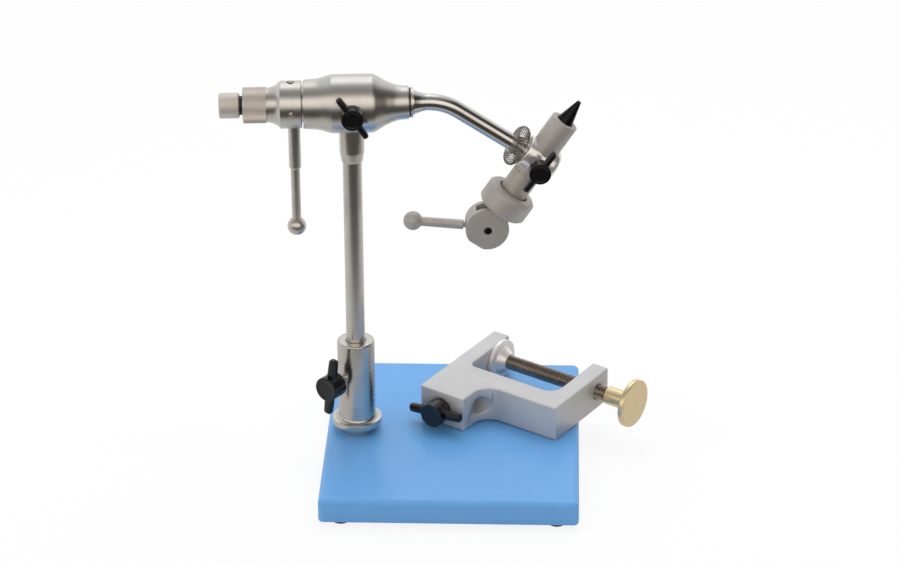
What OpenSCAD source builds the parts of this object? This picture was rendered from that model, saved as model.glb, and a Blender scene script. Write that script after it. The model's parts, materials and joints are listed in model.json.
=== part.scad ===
// Rotary fly tying vise on a pedestal base, with its table clamp lying on the plate.
// Lengths are millimetres: +X to the right along the head, +Y away from the tyer, +Z up.
// The origin is on the bench, under the middle of the whole object.

/* [Base plate] */
// Width of the plate, left to right
plate_w = 130; // [90:1:180]
// Depth of the plate, front to back
plate_d = 148; // [110:1:200]
// Thickness of the plate
plate_t = 12.7; // [8:0.1:20]
// Radius of the plate's corners and upper edges
plate_round = 3; // [1:0.5:5]
// Bevel along the plate's lower edges
plate_ease = 0.8; // [0.3:0.1:1.5]
// Diameter of a rubber foot
foot_d = 9.5; // [8:0.1:14]
// Height of a rubber foot
foot_h = 2.5; // [1.5:0.1:5]
// Foot centre in from the plate's side edge
foot_in_x = 11; // [8:0.5:25]
// Foot centre in from the plate's front or back edge
foot_in_y = 7.5; // [7.5:0.5:25]
// Stem axis in from the plate's left edge
stem_from_left = 15.5; // [14:0.5:65]
// Stem axis in from the plate's front edge
stem_from_front = 75; // [30:0.5:110]

/* [Socket] */
// Height of the socket above the plate
socket_h = 51.4; // [40:0.1:70]
// Diameter of the socket tube
socket_d = 19.05; // [17:0.05:24]
// Diameter of the ring under the flange
ring_d = 19; // [15:0.1:22]
// Height of the ring under the flange
ring_h = 4.2; // [2:0.1:6]
// Diameter of the flange
flange_d = 25.4; // [23:0.1:30]
// Thickness of the flange
flange_t = 3.1; // [2:0.1:5]
// Radius of the cove between the flange and the tube
cove_r = 2; // [1:0.1:2.5]
// Height of the blind bore's floor above the plate
socket_floor = 11.8; // [11:0.1:20]
// Bevel round the top of the tube
socket_bevel = 1.3; // [0.3:0.1:1.5]
// Bevel at the mouth of the bore
mouth_bevel = 0.6; // [0.2:0.1:1]
// Lock screw axis below the top of the tube
socket_screw_drop = 18.5; // [8:0.5:25]
// Direction of the lock screw round the stem
socket_screw_turn = 235; // [180:1:300]
// Outer face of the lock knob from the stem axis
socket_knob_reach = 25.2; // [22:0.1:35]
// Lean of the lock knob's wings
socket_wing_lean = -8; // [-90:1:90]
// Diameter of the bolt that holds the socket
bolt_d = 6.2; // [4:0.1:7]
// Length of that bolt inside the socket
bolt_grip = 8; // [6:0.1:9]
// Diameter of the bolt's head
bolt_head_d = 9.5; // [8:0.1:12]
// Height of the bolt's head
bolt_head_h = 6; // [4:0.1:7]

/* [Stem] */
// Diameter of the stem
stem_d = 9.525; // [8:0.005:10.5]
// Height of the head's axis above the bench
head_h = 197.5; // [150:0.5:240]
// Diameter of the ferrule under the head
ferrule_d = 12.4; // [11.6:0.1:14]
// Diameter of the ferrule's lower rim
ferrule_lip_d = 10.6; // [10.5:0.1:11.5]
// Foot of the ferrule below the head's axis
ferrule_foot = 30.7; // [26:0.1:40]
// Height of the ferrule's taper
ferrule_taper = 5.4; // [2:0.1:8]
// Top of the ferrule below the head's axis
ferrule_sink = 11.1; // [10.5:0.1:13]
// Top of the stem below the head's axis
stem_top = 15.5; // [14.5:0.1:18]

/* [Rotary head] */
// Turn of the whole head round the stem
head_yaw = 4; // [-30:1:30]
// Length of the housing
housing_l = 52.1; // [45:0.1:60]
// Rear end of the housing behind the stem axis
housing_rear = 23.5; // [20:0.1:28]
// Largest diameter of the housing
housing_d = 29; // [27:0.1:34]
// Diameter of the bushings
bush_d = 13; // [11.5:0.1:14]
// Length of a bushing
bush_l = 13.5; // [8:0.1:16]
// Diameter of the shaft
shaft_d = 9.5; // [8:0.1:10]
// Diameter of the shaft's threaded tail
tail_d = 7; // [5:0.1:7.5]
// Rear end of the shaft behind the stem axis
shaft_rear = 62; // [58:0.1:63]
// Lock screw axis in front of the stem axis, along the head
head_screw_u = 0.5; // [-3:0.1:3]
// Outer face of the head's lock knob from the head's axis
head_knob_reach = 21.5; // [20:0.1:30]
// Turn of the head knob's wings
head_wing_turn = 123.7; // [0:0.1:180]
// Thickness of the washer in front of the housing
front_washer_t = 0.6; // [0.4:0.1:2]
// Diameter of that washer
front_washer_d = 14.6; // [11:0.1:16]
// Thickness of the ring at the arm's root
front_ring_t = 1.1; // [0.6:0.1:3]
// Diameter of the ring at the arm's root
front_ring_d = 15; // [12:0.1:18]
// Thickness of the washer behind the housing
rear_washer_t = 0.5; // [0.3:0.1:1.5]
// Diameter of that washer
rear_washer_d = 18; // [14:0.1:22]

/* [Hub and crank] */
// Length of the hub behind the housing
hub_l = 29; // [24:0.1:36]
// Largest diameter of the hub
hub_d = 23.6; // [21:0.1:27]
// Depth of the hollow at the hub's rear end
hub_hollow = 6; // [4:0.1:8]
// Diameter of that hollow
hub_hollow_d = 14; // [10:0.1:15]
// Grub screws behind the stem axis
grub_u = 29.5; // [27:0.1:33]
// Diameter of a grub screw
grub_d = 4; // [3:0.1:5]
// Sink of a grub screw under the hub's surface
grub_sink = 0.6; // [0.3:0.1:2]
// Crank behind the stem axis
crank_u = 28.3; // [26:0.1:32]
// Diameter of the crank's upper part
crank_d = 6; // [4:0.1:7]
// Diameter of the crank's lower part
crank_thin_d = 4.6; // [3:0.1:5]
// End of the upper part below the head's axis
crank_step = 33.5; // [25:0.5:45]
// Ball centre below the head's axis
crank_l = 66; // [50:0.1:80]
// Diameter of the crank's ball
crank_ball_d = 9.4; // [7:0.05:12]
// Length of the tension knob
knob_l = 10.1; // [8:0.1:16]
// Diameter of the tension knob
knob_d = 12.6; // [10:0.1:18]
// Length of dark bush seen between the hub and the tension knob
bush_show = 1.6; // [1:0.1:4]
// Diameter of the dark bush
drag_bush_d = 9.4; // [8.5:0.1:12]

/* [Arm] */
// Diameter of the bent arm
arm_d = 8.3; // [6.5:0.1:9]
// Corner of the bend in front of the stem axis
bend_u = 45.8; // [43:0.1:60]
// Radius of the bend
bend_r = 27; // [15:0.5:34]
// Angle by which the arm drops
arm_drop = 34; // [20:1:45]
// From the corner of the bend to the middle of the eye
arm_run = 56.1; // [50:0.1:75]
// Diameter of the eye
eye_d = 17; // [16:0.1:20]
// Rear end of the eye behind its middle
eye_rear = 8.6; // [8.6:0.1:12]
// Front end of the eye ahead of its middle
eye_front = 9.6; // [8.1:0.1:14]
// Bevel round the front end of the eye
eye_bevel = 2.2; // [0.5:0.1:3]

/* [Jaws] */
// Diameter of the jaw tube
tube_d = 14.2; // [12:0.1:14.4]
// From the cam's pivot to the middle of the eye
eye_t = 44.7; // [43:0.1:50]
// Lower end of the tube from the pivot
tube_from = 15; // [14.8:0.1:16]
// Upper end of the tube from the pivot
tube_to = 68.6; // [64:0.1:72]
// Thickness of the tube's floor
tube_floor = 6; // [3:0.1:9]
// Diameter of the tube's bore
tube_bore = 7.2; // [6.8:0.1:9]
// Diameter of the tube's flared mouth
tube_mouth = 8.8; // [8.4:0.1:10.4]
// Length of the flared mouth
mouth_l = 9; // [6:0.1:12]
// Length of the jaws outside the tube
jaw_show = 12.4; // [8:0.1:20]
// Diameter of the jaws at their tip
jaw_tip_d = 2; // [1:0.1:3]
// Lower end of the jaws from the pivot
jaw_root = 43; // [40:0.1:45]
// Gap between the jaws
jaw_split = 0.1; // [0.05:0.05:0.3]
// Outer face of the jaw knob from the jaw axis
jaw_knob_reach = 20; // [18:0.1:26]
// Turn of the jaw knob's wings
jaw_wing_turn = 54; // [0:1:180]
// Diameter of the draw rod
rod_d = 4; // [3:0.1:4.2]
// Wire diameter of the spring inside the tube
return_wire = 0.6; // [0.5:0.05:0.7]
// Number of curls of that spring
return_curls = 7; // [4:1:12]

/* [Cam lever and nut] */
// Radius of the cam's rim
cam_r = 10.9; // [10:0.1:13]
// Thickness of the cam
cam_t = 12; // [9:0.1:13]
// Offset of the cam's rim from the pivot
cam_offset = 0.8; // [0.5:0.1:1.5]
// Angle from the jaw axis to that offset
cam_offset_turn = 60; // [0:1:60]
// Angle from the lever to the middle of the flat on the rim
cam_flat_turn = 61; // [40:1:90]
// Depth of the flat on the cam's rim
cam_flat = 0.8; // [0.3:0.1:1.5]
// Width of the slot for the draw rod
cam_slot = 5.8; // [5.5:0.1:6.5]
// Angle from the jaw axis to the slot's closed end
slot_lead = 52; // [30:1:60]
// Turn of the lever from shut to open
cam_throw = 120; // [60:5:120]
// Diameter of the pivot screw
pin_d = 4; // [3:0.1:4.4]
// Angle from the jaw axis to the lever
lever_turn = 118; // [100:1:130]
// Pivot to the middle of the lever's ball
lever_l = 37.7; // [30:0.1:50]
// Diameter of the lever
lever_d = 4.2; // [3:0.1:6]
// Diameter of the lever's neck
neck_d = 2.8; // [2:0.1:3]
// Start of the lever's full diameter from the pivot
lever_from = 12.2; // [12:0.1:16]
// Diameter of the lever's ball
lever_ball_d = 9; // [6:0.1:12]
// Diameter of the adjusting nut
nut_d = 25.7; // [22:0.1:26]
// Length of the adjusting nut
nut_l = 12; // [10:0.1:14]
// Bevel of the nut
nut_bevel = 1.6; // [0.5:0.1:2.5]
// Thickness of the nut's floor
nut_floor = 3; // [2:0.1:3.1]
// Diameter of the recess round the tube
nut_recess_d = 15.8; // [15:0.1:20]
// Depth of that recess
nut_recess = 4; // [2:0.1:6]

/* [Material spring] */
// Radius of the ring that the spring is bent into
garter_r = 7.5; // [7.5:0.1:8]
// Radius of one curl, to the middle of the wire
garter_curl_r = 2.9; // [1.5:0.05:2.9]
// Number of curls
garter_curls = 32; // [20:1:33]
// Wire diameter
garter_wire = 0.4; // [0.3:0.05:0.45]
// Lean of the ring on the arm
garter_lean = 4; // [0:0.5:5]
// Ring's middle behind the middle of the eye
garter_back = 12.6; // [12.6:0.1:16]

/* [Thumb screws] */
// Wing span of the two large knobs
large_span = 32; // [24:0.5:40]
// Hub diameter of the large knobs
large_hub_d = 13; // [10:0.1:14]
// Width of a large knob's wing
large_wing = 4.5; // [3:0.1:6]
// Wing span of the two small knobs
small_span = 25; // [18:0.5:28]
// Hub diameter of the small knobs
small_hub_d = 11; // [9:0.1:13]
// Width of a small knob's wing
small_wing = 3; // [2:0.1:5]
// Depth of a large knob's hub
large_hub_l = 9.2; // [6:0.1:10]
// Depth of a small knob's hub
small_hub_l = 6.4; // [5.5:0.1:6.6]
// Depth of the wings
wing_t = 4; // [2:0.1:5]
// Diameter of the lock screws
stud_d = 4.4; // [3:0.1:5]

/* [Table clamp] */
// Rear lower corner of the boss, to the right of the stem
clamp_x = 55.2; // [54:0.1:60]
// The same corner, away from the stem
clamp_y = -3.3; // [-10:0.05:2]
// Turn of the clamp on the plate
clamp_turn = -32.8; // [-36:0.1:-28]
// Tilt of the clamp, carried by its pad
clamp_tilt = 1.95; // [1.95:0.05:4]
// Thickness of the clamp
clamp_t = 19.05; // [18:0.05:20]
// Left face of the clamp from the corner
clamp_left = 27.2; // [26:0.1:32]
// Right face of the clamp from the corner
clamp_right = 44.3; // [40:0.1:50]
// Thickness of the clamp's jaws
clamp_jaw_t = 9.4; // [8:0.1:12]
// Reach of the clamp's jaws from the boss's front
clamp_reach = 69; // [68:0.1:74]
// Depth of the boss
boss_depth = 18.6; // [18:0.1:20]
// Thickness of the clamp's spine
spine_t = 13.2; // [10:0.1:15]
// Radius of the hollow beside the boss
hollow_r = 10; // [6:0.5:12]
// Radius of the mouth's inner corner by the fixed jaw
inner_r_left = 3.5; // [1:0.1:6]
// Radius of the mouth's inner corner by the screw
inner_r_right = 7; // [1:0.1:8]
// Stem bore behind the boss's front face
bore_v = 13.2; // [12:0.1:13.6]
// Screw axis behind the boss's front face
screw_v = 59; // [57:0.1:60]
// Diameter of the clamp screw
screw_d = 7.94; // [6:0.02:9]
// Diameter of the pad
pad_d = 22; // [18:0.1:22.4]
// Thickness of the pad
pad_t = 2.4; // [1.5:0.1:3]
// Gap between the pad and the fixed jaw
pad_gap = 0.2; // [0.1:0.1:2]
// Diameter of the pad's collar where it meets the pad
collar_wide_d = 14.6; // [10:0.1:18]
// Diameter of the collar's other end
collar_d = 9.8; // [7:0.1:11]
// Length of the pad's collar
collar_l = 4.2; // [2:0.1:6]
// Travel of the pad
feed = 38.1; // [20:0.1:38.5]
// Diameter of the brass knob
brass_d = 25.4; // [18:0.1:26]
// Thickness of the brass knob's disc
brass_t = 3; // [2:0.1:4]
// Diameter of the brass knob's hub
brass_hub_d = 9.5; // [9.2:0.1:11]
// Start of the brass hub from the corner
brass_from = 50.4; // [50:0.1:56]
// Length of the brass hub
brass_hub_l = 10.6; // [6:0.1:14]
// Length of the flare between the hub and the disc
brass_flare = 3; // [2:0.1:5]
// Lock screw to the left of the corner
clamp_screw_u = 14; // [12:0.5:16]
// Outer face of the clamp's lock knob from the boss
clamp_knob_reach = 9.7; // [9.5:0.1:12]
// Turn of that knob's wings
clamp_wing_turn = 6; // [0:1:8]

/* [Fits] */
// Radial clearance of what turns or slides
run_gap = 0.05; // [0.02:0.01:0.08]
// Gap between pieces that are fixed to each other
seat_gap = 0.02; // [0.01:0.01:0.04]
// Gap between flat faces that turn past each other
face_gap = 0.1; // [0.1:0.01:0.15]
// Gap left between the cam and the nut
cam_gap = 0.12; // [0.1:0.01:0.15]
// Overrun of every cut
over = 1; // [0.5:0.5:2]

/* [Hidden] */
$fn = 48;
mesh_fn = 32;
hex_fn = 6;
quarter = 90;
half_turn = 180;
full_turn = 360;
arc_step = 15;
rings_per_curl = 8;
wire_sides = 6;
slot_spare = 2;
fan_steps = 4;
fan_share = 1.3;

// Socket and stem
plate_top = foot_h + plate_t;
stem_x = stem_from_left - plate_w / 2;
stem_y = stem_from_front - plate_d / 2;
socket_bore_r = stem_d / 2 + run_gap;
screw_z = plate_top + socket_h - socket_screw_drop;
bolt_hole_r = bolt_d / 2 + run_gap;
counterbore_r = bolt_head_d / 2 + cove_r / 2;

// Head, measured along its own axis from the stem
housing_front = housing_l - housing_rear;
washer_rear = housing_rear + face_gap;
hub_front = washer_rear + rear_washer_t + face_gap;
hub_rear = hub_front + hub_l;
hollow_floor = hub_rear - hub_hollow;
knob_front = hub_rear + bush_show;
knob_rear = knob_front + knob_l;
washer_front = housing_front + face_gap;
ring_front = washer_front + front_washer_t + face_gap;
arm_root = ring_front + front_ring_t;
tenon_d = arm_d * 0.75;
tenon_l = tenon_d * 2;
// Distance along the housing and radius, as shares of its length and of its largest radius
housing_shares = [
    [0, 0.82], [0.012, 0.834], [0.114, 0.862], [0.165, 0.892], [0.209, 0.938], [0.256, 0.986],
    [0.281, 1], [0.636, 1], [0.66, 0.988], [0.682, 0.959], [0.731, 0.855], [0.777, 0.759],
    [0.826, 0.683], [0.872, 0.621], [0.921, 0.586], [0.967, 0.572], [0.99, 0.572], [1, 0.55]
];
// The same for the hub, from its rear end
hub_shares = [
    [0, 0.7], [0.021, 0.754], [0.402, 0.754], [0.413, 0.72], [0.448, 0.729], [0.49, 0.76],
    [0.535, 0.797], [0.58, 0.86], [0.615, 0.94], [0.633, 1], [0.979, 1], [1, 0.95]
];
// The flare at the arm's root, as shares of the arm's radius and of the flare's length
flare_shares = [
    [0, 1.51], [0.07, 1.5], [0.16, 1.42], [0.26, 1.345], [0.35, 1.28], [0.44, 1.22],
    [0.53, 1.17], [0.63, 1.12], [0.72, 1.08], [0.81, 1.05], [0.9, 1.02], [1, 1]
];

// Arm and jaws
bend_reach = bend_r * tan(arm_drop / 2);
bend_from = bend_u - bend_reach;
flare_l = bend_from - arm_root;
eye_x = bend_u + arm_run * cos(arm_drop);
eye_z = -arm_run * sin(arm_drop);
pivot_x = eye_x - eye_t * sin(arm_drop);
pivot_z = eye_z - eye_t * cos(arm_drop);
jaw_aim = quarter - arm_drop;
tube_r = tube_d / 2;
bore_r = tube_bore / 2;
arm_seat = (eye_rear - tube_r) / 3;
mouth_from = tube_to - mouth_l;
jaw_play = 0.3 * run_gap / 0.05;
jaw_r = bore_r - jaw_play;
jaw_wide_r = tube_mouth / 2 - jaw_play;
jaw_to = tube_to + jaw_show;
rod_r = rod_d / 2;
rod_room = 0.3 * run_gap / 0.05;
rod_neck_r = rod_r / 2;
rod_head_r = rod_r * 0.9;
rod_head_l = 1.5 * rod_d / 4;
hook_from = jaw_root + rod_head_l * 1.6;
rod_head_from = hook_from + face_gap;
rod_end = rod_head_from + rod_head_l;
rod_shoulder = jaw_root - rod_neck_r;
hook_pivot = (rod_head_from + rod_end) / 2;

// Cam
cam_contact = cam_r + cam_offset * cos(cam_offset_turn);
nut_from = cam_contact + cam_gap;
cup_from = nut_from + nut_floor;
cam_aim = jaw_aim + cam_offset_turn;
lever_aim = jaw_aim + lever_turn;
flat_aim = lever_aim + cam_flat_turn;
rod_eye_r = rod_d * 0.85;
rod_eye_t = cam_slot - 2 * face_gap;
slot_first = jaw_aim + slot_lead;
slot_last = jaw_aim - cam_throw - slot_spare;
pin_r = pin_d / 2;
ball_r = lever_ball_d / 2;

// Table clamp
inner_left = clamp_left - clamp_jaw_t;
inner_right = clamp_right - clamp_jaw_t;
spine_back = boss_depth + spine_t;
clamp_mid = clamp_t / 2;
pad_from = pad_gap - inner_left;
collar_from = pad_from + pad_t;
screw_tip_l = collar_l * 0.9;
brass_end = brass_from + brass_hub_l + brass_flare + brass_t;
lay_gap = seat_gap;
tilt_axis = [clamp_right, boss_depth, 0] / norm([clamp_right, boss_depth, 0]);

// Place of a clamp point, seen from the stem axis
function tilted(p) = p * cos(clamp_tilt) + cross(tilt_axis, p) * sin(clamp_tilt)
    + tilt_axis * (tilt_axis * p) * (1 - cos(clamp_tilt));
function turned_x(p) = p[0] * cos(clamp_turn) - p[1] * sin(clamp_turn);
screw_way = tilted([1, 0, 0]);
screw_way_x = turned_x(screw_way);
brass_face_x = clamp_x + turned_x(tilted([brass_end, screw_v, clamp_mid]));

// Ends of the whole object, seen from the stem axis
knob_ease = knob_d / 16;
left_end = -knob_rear * cos(head_yaw) - (knob_d / 2 - knob_ease) * sin(head_yaw);
right_end = brass_face_x + (brass_d / 2 - brass_t / 6) * sqrt(1 - screw_way_x * screw_way_x);
row_x = -(left_end + right_end) / 2;
row_y = stem_y;

// Frames of the assembly
module in_row() {
    translate([row_x, row_y, 0]) children();
}

module at_head() {
    in_row() translate([0, 0, head_h]) rotate([0, 0, head_yaw]) children();
}

// Local z runs along the head, towards the jaws
module along_head() {
    at_head() rotate([0, quarter, 0]) children();
}

// Local z runs up the jaw axis from the cam's pivot, local x down the arm
module at_jaw() {
    at_head() translate([pivot_x, 0, pivot_z]) rotate([0, arm_drop, 0]) children();
}

// Local x runs from the pivot at an angle in the head's upright plane
module from_pivot(aim) {
    at_head() translate([pivot_x, 0, pivot_z]) rotate([0, -aim, 0]) children();
}

module at_clamp() {
    in_row() translate([clamp_x, clamp_y, plate_top + lay_gap])
        rotate([0, 0, clamp_turn]) rotate(a = clamp_tilt, v = tilt_axis) children();
}

// Local z runs along the clamp's screw
module along_screw() {
    at_clamp() translate([0, screw_v, clamp_mid]) rotate([0, quarter, 0]) children();
}

// Local z runs outwards along each lock screw, from the axis that it locks
module at_socket_screw() {
    in_row() translate([0, 0, screw_z]) rotate([0, 0, socket_screw_turn])
        rotate([0, quarter, 0]) rotate([0, 0, socket_wing_lean]) children();
}

module at_head_screw() {
    at_head() translate([head_screw_u, 0, 0]) rotate([quarter, 0, 0])
        rotate([0, 0, head_wing_turn]) children();
}

module at_jaw_screw() {
    at_head() translate([eye_x, 0, eye_z]) rotate([quarter, 0, 0])
        rotate([0, 0, jaw_wing_turn]) children();
}

module at_clamp_screw() {
    at_clamp() translate([-clamp_screw_u, 0, clamp_mid]) rotate([quarter, 0, 0])
        rotate([0, 0, clamp_wing_turn]) children();
}

// Shapes used more than once
module rod(d, from, to) {
    translate([0, 0, from]) cylinder(d = d, h = to - from);
}

module ring(d, hole_d, from, to) {
    difference() {
        rod(d, from, to);
        rod(hole_d, from - over, to + over);
    }
}

// A turned rod with both ends bevelled
module eased_rod(d, from, to, ease) {
    rotate_extrude() polygon([
        [0, from], [d / 2 - ease, from], [d / 2, from + ease],
        [d / 2, to - ease], [d / 2 - ease, to], [0, to]
    ]);
}

module hex_socket(d, depth) {
    translate([0, 0, -depth]) cylinder(d = d, h = depth + over, $fn = hex_fn);
}

// Knob of a thumb screw: outer face at z = 0, wings along x
module thumb_knob(span, hub, hub_deep, wing) {
    ease = hub / 16;
    difference() {
        union() {
            eased_rod(hub, -hub_deep, 0, ease);
            for (side = [-1, 1]) {
                translate([side * (span - wing) / 2, 0, -(hub_deep + wing_t) / 2])
                    cylinder(d = wing, h = wing_t);
            }
            translate([0, 0, -hub_deep / 2]) cube([span - wing, wing, wing_t], center = true);
        }
        rod(stud_d + 2 * seat_gap, -hub_deep - over, -hub_deep * 0.4);
    }
}

// Screw of a thumb screw, from its tip to its end inside the knob
module thumb_stud(tip, reach, hub_deep) {
    ease = stud_d / 8;
    eased_rod(stud_d, tip, reach - hub_deep * 0.4 - seat_gap, ease);
}

// Closed or capped tube through rings of points
module wire_mesh(rings, closed) {
    count = len(rings);
    last = closed ? count - 1 : count - 2;
    points = [for (one = rings) for (p = one) p];
    walls = [
        for (i = [0 : last]) for (j = [0 : wire_sides - 1])
            let (a = i * wire_sides, b = ((i + 1) % count) * wire_sides, k = (j + 1) % wire_sides)
            each [[a + j, b + j, b + k], [a + j, b + k, a + k]]
    ];
    caps = closed ? [] : [
        [for (j = [0 : wire_sides - 1]) j],
        [for (j = [0 : wire_sides - 1]) count * wire_sides - 1 - j]
    ];
    polyhedron(points = points, faces = concat(walls, caps));
}

function unit(v) = v / norm(v);
function wire_ring(middle, way, out, r) =
    let (side = cross(way, out))
    [for (j = [0 : wire_sides - 1])
        let (a = full_turn * j / wire_sides)
        middle + r * (out * cos(a) + side * sin(a))];

// Least gap that a wire leaves to itself, between points of its middle line half a curl apart or more
function least_gap(middles, wire, closed) =
    let (count = len(middles), half_curl = rings_per_curl / 2)
    min([for (i = [0 : count - 1]) for (j = [i + half_curl : 1 : count - 1])
        if (!closed || i + count - j >= half_curl) norm(middles[i] - middles[j])]) - wire;

// Base
module corner_post() {
    arc = [for (a = [0 : arc_step : quarter])
        [plate_round * cos(a), plate_t - plate_round + plate_round * sin(a)]];
    rotate_extrude($fn = mesh_fn)
        polygon(concat([[0, 0], [plate_round - plate_ease, 0], [plate_round, plate_ease]], arc));
}

module base_plate() {
    corner_x = plate_w / 2 - plate_round;
    corner_y = plate_d / 2 - plate_round;
    color("#5b9fe0")
    in_row() difference() {
        translate([-stem_x, -stem_y, foot_h]) hull() {
            for (x = [-corner_x, corner_x]) {
                for (y = [-corner_y, corner_y]) {
                    translate([x, y, 0]) corner_post();
                }
            }
        }
        rod(2 * bolt_hole_r, foot_h - over, plate_top + over);
        rod(2 * counterbore_r, foot_h - over, foot_h + bolt_head_h + plate_ease);
    }
}

module rubber_feet() {
    foot_x = plate_w / 2 - foot_in_x;
    foot_y = plate_d / 2 - foot_in_y;
    ease = foot_h / 5;
    color("#26272a")
    in_row() for (x = [-foot_x, foot_x]) {
        for (y = [-foot_y, foot_y]) {
            translate([x - stem_x, y - stem_y, 0]) rotate_extrude() polygon([
                [0, 0], [foot_d / 2 - ease, 0], [foot_d / 2, ease], [foot_d / 2, foot_h], [0, foot_h]
            ]);
        }
    }
}

module socket_tube() {
    tube = socket_d / 2;
    cove_z = ring_h + flange_t;
    edge = flange_t / 6;
    cove = [for (a = [half_turn + quarter : -arc_step : half_turn])
        [tube + cove_r + cove_r * cos(a), cove_z + cove_r + cove_r * sin(a)]];
    outside = concat([
        [bolt_hole_r, 0], [ring_d / 2, 0], [ring_d / 2, ring_h], [flange_d / 2 - edge, ring_h],
        [flange_d / 2, ring_h + edge], [flange_d / 2, cove_z - edge], [flange_d / 2 - edge, cove_z]
    ], cove, [
        [tube, socket_h - socket_bevel], [tube - socket_bevel, socket_h],
        [socket_bore_r + mouth_bevel, socket_h], [socket_bore_r, socket_h - mouth_bevel],
        [socket_bore_r, socket_floor], [0, socket_floor],
        [0, bolt_grip + mouth_bevel], [bolt_hole_r, bolt_grip + mouth_bevel]
    ]);
    color("#b9b7b2")
    difference() {
        in_row() translate([0, 0, plate_top]) rotate_extrude() polygon(outside);
        at_socket_screw() rod(stud_d + 2 * run_gap, 0, tube + over);
    }
}

module socket_bolt() {
    head_z = foot_h + plate_ease;
    color("#4a4a4c")
    in_row() difference() {
        union() {
            eased_rod(bolt_head_d, head_z, head_z + bolt_head_h, plate_ease / 2);
            rod(bolt_d, head_z + bolt_head_h / 2, plate_top + bolt_grip);
        }
        translate([0, 0, head_z]) mirror([0, 0, 1]) hex_socket(bolt_head_d / 2, bolt_head_h / 2);
    }
}

module socket_knob() {
    color("#1b1c20")
    at_socket_screw() translate([0, 0, socket_knob_reach])
        thumb_knob(large_span, large_hub_d, large_hub_l, large_wing);
}

module socket_stud() {
    color("#9a9a98")
    at_socket_screw() thumb_stud(stem_d / 2 + run_gap, socket_knob_reach, large_hub_l);
}

// Stem
module stem() {
    foot = plate_top + socket_floor + seat_gap;
    color("#b4b1ac")
    in_row() eased_rod(stem_d, foot, head_h - stem_top, mouth_bevel);
}

module stem_ferrule() {
    hole_r = stem_d / 2 + run_gap;
    color("#b4b1ac")
    in_row() rotate_extrude() polygon([
        [hole_r, head_h - ferrule_foot], [ferrule_lip_d / 2, head_h - ferrule_foot],
        [ferrule_d / 2, head_h - ferrule_foot + ferrule_taper],
        [ferrule_d / 2, head_h - ferrule_sink], [0, head_h - ferrule_sink],
        [0, head_h - stem_top + face_gap], [hole_r, head_h - stem_top + face_gap]
    ]);
}

// Rotary head
module housing() {
    r = housing_d / 2;
    hole_r = bush_d / 2 + seat_gap;
    outline = [for (s = housing_shares) [s[1] * r, s[0] * housing_l - housing_rear]];
    color("#b4b1ac")
    difference() {
        along_head() rotate_extrude()
            polygon(concat([[hole_r, -housing_rear]], outline, [[hole_r, housing_front]]));
        in_row() rod(ferrule_d + 2 * seat_gap, head_h - r - over, head_h - ferrule_sink + seat_gap);
        at_head_screw() rod(stud_d + 2 * run_gap, 0, r + over);
    }
}

module bushing(from) {
    color("#b08d57")
    along_head() ring(bush_d, shaft_d + 2 * run_gap, from, from + bush_l);
}

module front_bushing() {
    bushing(housing_front - bush_l - seat_gap);
}

module rear_bushing() {
    bushing(seat_gap - housing_rear);
}

module head_knob() {
    color("#1b1c20")
    at_head_screw() translate([0, 0, head_knob_reach])
        thumb_knob(small_span, small_hub_d, small_hub_l, small_wing);
}

module head_stud() {
    color("#9a9a98")
    at_head_screw() thumb_stud(shaft_d / 2 + run_gap, head_knob_reach, small_hub_l);
}

module rotary_shaft() {
    color("#8f8d89")
    along_head() difference() {
        union() {
            rod(shaft_d, -hollow_floor, arm_root);
            eased_rod(tail_d, -shaft_rear, -hollow_floor + tenon_d, tail_d / 8);
        }
        rod(tenon_d + 2 * seat_gap, arm_root - tenon_l - seat_gap, arm_root + over);
    }
}

module rear_washer() {
    color("#8a8988")
    along_head() ring(rear_washer_d, shaft_d + 2 * seat_gap, -washer_rear - rear_washer_t, -washer_rear);
}

module front_washer() {
    color("#2c2c2e")
    along_head() ring(front_washer_d, shaft_d + 2 * seat_gap, washer_front, washer_front + front_washer_t);
}

module front_ring() {
    color("#b4b1ac")
    along_head() ring(front_ring_d, shaft_d + 2 * seat_gap, ring_front, arm_root);
}

// Hub, crank and tension knob
module grub_places() {
    at_head() translate([-grub_u, 0, 0]) children();
    at_head() translate([-grub_u, 0, 0]) rotate([quarter, 0, 0]) children();
}

module rotary_hub() {
    r = hub_d / 2;
    hole_r = shaft_d / 2 + seat_gap;
    outline = [for (s = hub_shares) [s[1] * r, s[0] * hub_l - hub_rear]];
    color("#aeaba6")
    difference() {
        along_head() rotate_extrude() polygon(concat(
            [[hub_hollow_d / 2, -hub_rear]], outline,
            [[hole_r, -hub_front], [hole_r, -hollow_floor], [hub_hollow_d / 2, -hollow_floor]]
        ));
        grub_places() rod(grub_d + 2 * seat_gap, 0, r + over);
        at_head() translate([-crank_u, 0, 0])
            rod(crank_d + 2 * seat_gap, -r - over, -r * 0.7);
    }
}

module hub_grub_screws() {
    top = hub_d / 2 - grub_sink;
    color("#3a3a3c")
    grub_places() difference() {
        rod(grub_d, shaft_d / 2 + seat_gap, top);
        translate([0, 0, top]) hex_socket(grub_d * 0.6, grub_d / 2);
    }
}

module crank_rod() {
    taper = (crank_d - crank_thin_d) / 2;
    color("#a8a6a2")
    at_head() translate([-crank_u, 0, 0]) rotate_extrude() polygon([
        [0, -crank_l], [crank_thin_d / 2, -crank_l], [crank_thin_d / 2, -crank_step - taper],
        [crank_d / 2, -crank_step], [crank_d / 2, -hub_d * 0.35 - seat_gap],
        [0, -hub_d * 0.35 - seat_gap]
    ]);
}

module crank_ball() {
    color("#b4b1ac")
    at_head() translate([-crank_u, 0, -crank_l]) difference() {
        sphere(d = crank_ball_d);
        rod(crank_thin_d + 2 * seat_gap, -seat_gap, crank_ball_d);
    }
}

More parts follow.
